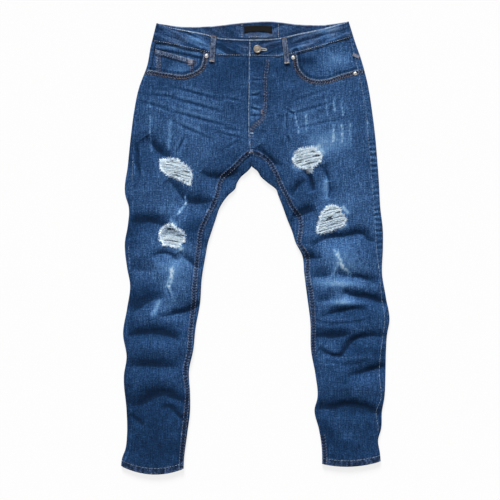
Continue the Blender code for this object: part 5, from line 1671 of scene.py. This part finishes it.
def rip_fray(name):
    """Broken threads round a rip, and loose ones lying across it."""
    ring = ragged(RIP_LINE[name])
    middle = ring.mean(axis=0)
    random = np.random.default_rng(int(abs(middle[1]) * 5 + 11))
    lines = []
    for _ in range(FRAY):
        at = ring[random.integers(len(ring))]
        away = (at - middle) / np.linalg.norm(at - middle)
        run = np.array(turned(*away, random.normal(0.0, 0.9)))
        run *= random.choice([-1.0, 1.0], p=[0.35, 0.65])
        length = random.uniform(2.0, 7.0)
        t = np.linspace(-0.2, 1, 5)
        bend = random.normal(0, 0.35)
        x = at[0] + length * (run[0] * t - run[1] * bend * t * t)
        y = at[1] + length * (run[1] * t + run[0] * bend * t * t)
        z = 0.15 + random.uniform(0.1, 0.9) * np.sin(np.clip(t, 0, 1) * 2.4)
        lines.append(joined(x, y, z))
    for _ in range(LOOSE):
        at = middle + (ring[random.integers(len(ring))] - middle) * random.uniform(0.1, 1.0)
        turn = math.radians(WEFT[name][0]) + random.normal(0.0, 0.7)
        t = np.linspace(-0.5, 0.5, 6) * random.uniform(4.0, 12.0)
        x, y = turned(t, random.normal(0, 0.05) * t * t, turn)
        z = random.uniform(-0.4, 0.6) + 0.3 * noise(t, 0 * t, 3, 1, 57)
        lines.append(joined(at[0] + x, at[1] + y, z))
    return from_lines(f"fray_{name}", over_top(lines), SWEPT_THREADS, FRAY_COTTON,
                      Radius=0.00024, Unevenness=0.3, Sides=4, Seed=3)


# ---------------------------------------------------------------- seams in thread
def mouth_line(leg, below=0.0):
    """A pocket mouth from the outseam to a distance below the waistband."""
    line = evenly(MOUTH[leg], 3.0)
    line = line[SIDE[leg] * line[:, 0] < SIDE[leg] * outer_seam_x(leg, line[:, 1])]
    return line[line[:, 1] < smooth(BAND_FRONT, 1, line[:, 0]) - below]


def part_of(line, low, high):
    return line[(line[:, 1] < high) & (line[:, 1] > low)]


def upright(x, start, end, step=-3.0):
    return joined(x, np.arange(start, end, step))


def band_row(share, edges, start, end):
    return joined(*band_plan(np.arange(start, end, 3.0), edges, share))


def band_end(x, low, high):
    """A line up the waistband's end, between two shares of its height."""
    return joined(*band_plan(np.array(x), BAND_FRONT, np.linspace(low, high, 14)))


def band_inside(x, y):
    return band_floor(x, y) + BAND_CLOTH


def topstitch():
    """Every row of stitches, by its thread: tan where protected, mauve and pale where worn."""
    tan, mauve, pale = [], [], []

    def sew(thread, line, height=top_height, lift=0.25):
        thread.append(laid_on(line, height, lift))

    for leg, side in SIDE.items():
        sew(mauve, beside(mouth_line(leg), -side * 2.2))
        sew(tan, beside(mouth_line(leg), -side * 8.2))
        for out in (-4.2, 4.2):
            for high, low in ((CROTCH_Y - 3, -250), (-250, -430), (-430, -600)):
                if leg == "right" or low != -430:
                    sew(mauve, beside(part_of(evenly(INSEAM[leg], 3.0), low, high), out))
        sew(tan, hem_line(leg, HEM_DEPTH - 2.5)[1:-1], seat_height, -0.2)
        sew(tan, upright(CENTRE_X + side * 3.0, 450, 192, -6.0), seat_height, -0.2)
        x = np.linspace(CENTRE_X + side * 5, outer_edge(leg, YOKE_Y) - side * 12, 40)
        for low in (-2.5, -8.0):
            sew(tan, joined(x, bent(leg, YOKE_Y, x, BAND_BACK) + low), seat_height, -0.2)
    for out in (0.0, ROW_GAP):
        sew(mauve, beside(FLY_LINE, out))
    sew(tan, beside(FLY_LINE[FLY_LINE[:, 1] < 312], ROW_GAP / 2))
    for x in (-9.6, -3.6):
        sew(mauve, upright(x, 268, 221))
    for share in (0.085, 0.955):
        sew(pale, band_row(share, BAND_FRONT, FRONT_X + 2, 222), band_top)
        sew(pale, band_row(share, BAND_FRONT, -229, FRONT_X - 2), band_top)
        sew(tan, band_row(share, BAND_BACK, -226, 218), band_floor, -0.1)
    sew(pale, band_end(FRONT_X + 2.0, 0.08, 0.93), band_top)
    sew(tan, band_row(0.95, BAND_BACK, -216, 208), band_inside, 0.2)
    for x in (-28.8, 55.0):
        sew(pale, upright(x, 484, 513, 3.0), band_inside, 0.2)
    x = np.arange(-12, 30, 3.0)
    sew(pale, joined(x, 482.5 + 1.8 * np.cos((x - 8) / 14)), band_inside, 0.3)
    x = np.linspace(-224, -143, 28)
    for low in (1.6, 8.6):
        sew(mauve, joined(x, np.interp(x, *COIN_HEM.T) - low), coin_top)
    for x in (-221.5, -216.5):
        sew(mauve, upright(x, 446, 406), coin_top)
    for x in (-142.0, -147.5):
        sew(tan, upright(x, 426, 402), coin_top)
    for name in FRONT_LOOPS:
        for across in (-4.7, 4.7):
            line = joined(*loop_place(name, np.linspace(0.1, 0.9, 22), across))
            mauve.append(line + (0, 0, 0.2))
    for place in BACK_POCKET_AT.values():
        for shrink in (0.965, 0.88):
            outline = turned_outline(np.roll(BACK_POCKET, -1, axis=0) * shrink, *place)
            line = [evenly(np.array(pair), 3.0) for pair in zip(outline, outline[1:])]
            sew(tan, np.concatenate(line), lambda x, y: 0 * x + 0.1, -0.2)
    return tan, mauve, pale


def long_stitches():
    """The worn stitches along the hems and down the outseams, where longer ones show."""
    lines = [laid_on(hem_line(leg, HEM_DEPTH - 1.5)[1:-1], top_height) for leg in SIDE]
    for leg, high, low in (("left", 472, -420), ("right", 214, 150), ("right", 0, -36)):
        seam = evenly(part_of(OUTSEAM[leg], low, high), 3.0)
        lines.append(laid_on(beside(seam, SIDE[leg] * 0.6), top_height))
    return lines


def worn_edges():
    """Folded edges of the cloth, where the dye has worn off: fly and waistband, then the finer
    edges of the pockets and the band's foot."""
    lines = [laid_on(evenly(FLY_EDGE, 3.0), top_height, 0.1)]
    fine = [laid_on(beside(mouth_line(leg, 1.0), -side * 0.4), top_height, 0.0)
            for leg, side in SIDE.items()]
    for share, end, edges in ((0.005, -231, fine), (0.985, -186, lines)):
        for span in ((FRONT_X + 1, 224), (end, FRONT_X - 2)):
            edges.append(laid_on(band_row(share, BAND_FRONT, *span), band_top, -0.3))
    lines.append(laid_on(band_end(FRONT_X + 0.4, 0.03, 0.97), band_top, -0.1))
    fine.append(laid_on(evenly(COIN_HEM + (0.0, -0.4), 3.0), coin_top, -0.1))
    return lines, fine


def bar_tacks():
    """Dense tacks where a seam takes strain, and the stitches round the buttonhole."""
    tan, mauve, pale, worn = [], [], [], []
    for name in FRONT_LOOPS:
        for share, rows in ((0.03, tan), (0.05, mauve), (0.07, mauve), (0.915, tan), (0.930, tan),
                            (0.945, pale), (0.960, pale)):
            line = joined(*loop_place(name, share, np.linspace(-5.6, 5.6, 12)))
            rows.append(line + (0, 0, 0.35))
    for line, width, step, height, rows in (
            ([(16.3, 306), (16.3, 315)], 3.0, 0.45, top_height, tan),
            ([(-10, 262), (-3, 262)], 3.0, 0.45, top_height, worn),
            ([(-12, 217), (-3, 219)], 5.0, 0.6, top_height, mauve),
            ([(226, 443), (240, 437)], 9.0, 0.8, top_height, mauve),
            ([(-147, 419), (-147, 431)], 15.0, 0.8, coin_top, mauve)):
        rows.append(laid_on(zigzag(line, width, step), height, 0.5))
    bx, by = BUTTON_AT
    slot = rounded([(bx + 8.5, by + 1.9), (20, by + 1.2), (25, by + 0.8), (28, by - 1.2),
                    (25, by - 3.1), (20, by - 2.9), (bx + 8.5, by - 2.5)])
    pale.append(laid_on(zigzag(slot, 2.2, 0.5), band_top, 0.4))
    return tan, mauve, pale, worn


# ---------------------------------------------------------------- the whole garment
def pieces():
    """Every piece by the CAD node it stands for, with its slot."""
    made = {}
    for leg in SIDE:
        made[f"front_{leg}"] = (front_panel(leg), "denim")
        yoke, back = back_panels(leg)
        made[f"yoke_{leg}"] = (yoke, "denim_dark")
        made[f"back_{leg}"] = (back, "denim")
    for leg in SIDE:
        made[f"pocket_facing_{leg}"] = (pocket_facing(leg), "denim")
    coin = behind_mouth("coin_pocket", corner_rounded(COIN_POCKET, 2.0), coin_top, coin_wash_and_shadow)
    made["coin_pocket"] = (coin, "denim")
    made["waistband"] = (waistband(), "denim_dark")
    for nodes, build, slot in ((FRONT_LOOPS, front_loop, "denim_dark"),
                               (BACK_LOOPS, back_loop, "denim_dark"),
                               (BACK_POCKET_AT, back_pocket, "denim")):
        for node in nodes:
            made[node] = (build(node), slot)
    made["label"] = (label(), "label_weave")
    made["button"] = (button(), "antique_nickel")
    for node in RIVETS_AT:
        made[node] = (rivet(node), "bright_nickel")
    for name in RIPS:
        made[f"rip_threads_{name}"] = (rip_threads(name), "worn_weft")
    return made


def trimmings():
    """Thread that stands for no CAD node, with its slot."""
    made = [(rip_fray(name), "worn_weft") for name in RIPS]
    # The right knee's weft under the fold above the rip, painted greyer as shade.
    made.append((rip_threads("knee_right", greyed=True), "worn_weft"))
    rows = [*topstitch(), long_stitches()]
    for seed, (name, thread, pitch, length, width) in enumerate(STITCHES):
        made.append((from_lines(name, rows[seed], STITCH_ROWS, thread, Pitch=pitch * MM,
                                Length=length * MM, Width=width * MM, Seed=5 + seed), "denim"))
    tan, mauve, pale, worn = bar_tacks()
    edges, fine_edges = worn_edges()
    for name, lines, radius, thread in (
            ("bar_tacks_copper", tan, 0.36, TAN_THREAD),
            ("bar_tacks_faded", mauve, 0.36, MAUVE_THREAD),
            ("buttonhole_stitches", pale, 0.38, PALE_THREAD),
            ("bar_tacks_worn", worn, 0.36, WORN_EDGE),
            ("worn_edges", edges, 0.65, WORN_EDGE),
            ("fine_worn_edges", fine_edges, 0.32, WORN_EDGE)):
        made.append((from_lines(name, lines, SWEPT_THREADS, thread, Radius=radius * MM,
                                Unevenness=0.2, Seed=8), "denim"))
    return made


def dress():
    for node, (piece, slot) in pieces().items():
        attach(piece, "root")
        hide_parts(node)
    for piece, slot in trimmings():
        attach(piece, "root")


# ---------------------------------------------------------------- floor, light and camera
CAMERA_HEIGHT = 3.6
PICTURE_SIDE = 1.150
PICTURE_MIDDLE = (-10.35, -5.75)
SENSOR = 36.0
SUN_ELEVATION = 29.0
SUN_LEVEL = 0.74
SKY_LEVEL = 0.28
PAPER_GLOW = 0.8
FLOOR_HALF = 4.0
FLOOR_Z = -0.0004


def seen_directly(tree):
    """1 for rays from the camera, in reflections and through glass."""
    rays = add(tree, "ShaderNodeLightPath").node.outputs
    seen = rays["Is Camera Ray"]
    for kind in ("Is Glossy Ray", "Is Transmission Ray"):
        seen = add(tree, "ShaderNodeMath", (seen, rays[kind]), operation="ADD", use_clamp=True)
    return seen


def studio():
    scene = bpy.context.scene
    scene.view_settings.view_transform = "Standard"
    world = bpy.data.worlds.new("soft_white_room")
    world.use_nodes = True
    tree = world.node_tree
    background = tree.nodes["Background"]
    background.inputs["Color"].default_value = (1, 1, 1, 1)
    strength = add(tree, "ShaderNodeMath", (seen_directly(tree), 1.0 - SKY_LEVEL, SKY_LEVEL),
                   operation="MULTIPLY_ADD")
    tree.links.new(strength, background.inputs["Strength"])
    scene.world = world

    paper = bpy.data.materials.new("matt_white_paper")
    paper.use_nodes = True
    tree = paper.node_tree
    shader = tree.nodes["Principled BSDF"]
    shader.inputs["Base Color"].default_value = (0.9, 0.9, 0.9, 1)
    shader.inputs["Roughness"].default_value = 1.0
    glow = add(tree, "ShaderNodeEmission", {"Color": (1, 1, 1, 1), "Strength": 1.0})
    share = add(tree, "ShaderNodeMath", (seen_directly(tree), PAPER_GLOW), operation="MULTIPLY")
    mix = add(tree, "ShaderNodeMixShader", (share, shader.outputs[0], glow))
    tree.links.new(mix, tree.nodes["Material Output"].inputs["Surface"])
    floor = bpy.data.meshes.new("floor")
    floor.from_pydata([(x * FLOOR_HALF, y * FLOOR_HALF, FLOOR_Z)
                       for x, y in ((-1, -1), (1, -1), (1, 1), (-1, 1))], [], [(0, 1, 2, 3)])
    floor.materials.append(paper)
    table = bpy.data.objects.new("floor", floor)
    scene.collection.objects.link(table)

    sun = bpy.data.lights.new("large_window", "SUN")
    sun.energy = SUN_LEVEL * math.pi / math.sin(math.radians(SUN_ELEVATION))
    sun.angle = math.radians(24)
    lamp = bpy.data.objects.new("large_window", sun)
    lamp.rotation_euler = (math.radians(SUN_ELEVATION - 90), 0, math.radians(8))
    scene.collection.objects.link(lamp)

    lens = bpy.data.cameras.new("overhead")
    lens.sensor_width = SENSOR
    lens.lens = SENSOR * CAMERA_HEIGHT / PICTURE_SIDE
    lens.clip_end = 50.0
    camera = bpy.data.objects.new("overhead", lens)
    camera.location = ((PICTURE_MIDDLE[0] + PLAN_SHIFT[0]) * MM,
                       (PICTURE_MIDDLE[1] + PLAN_SHIFT[1]) * MM, CAMERA_HEIGHT)
    scene.collection.objects.link(camera)
    scene.camera = camera


def write_size():
    """Updates the view layer."""
    bpy.context.view_layer.update()


dress()
studio()
write_size()
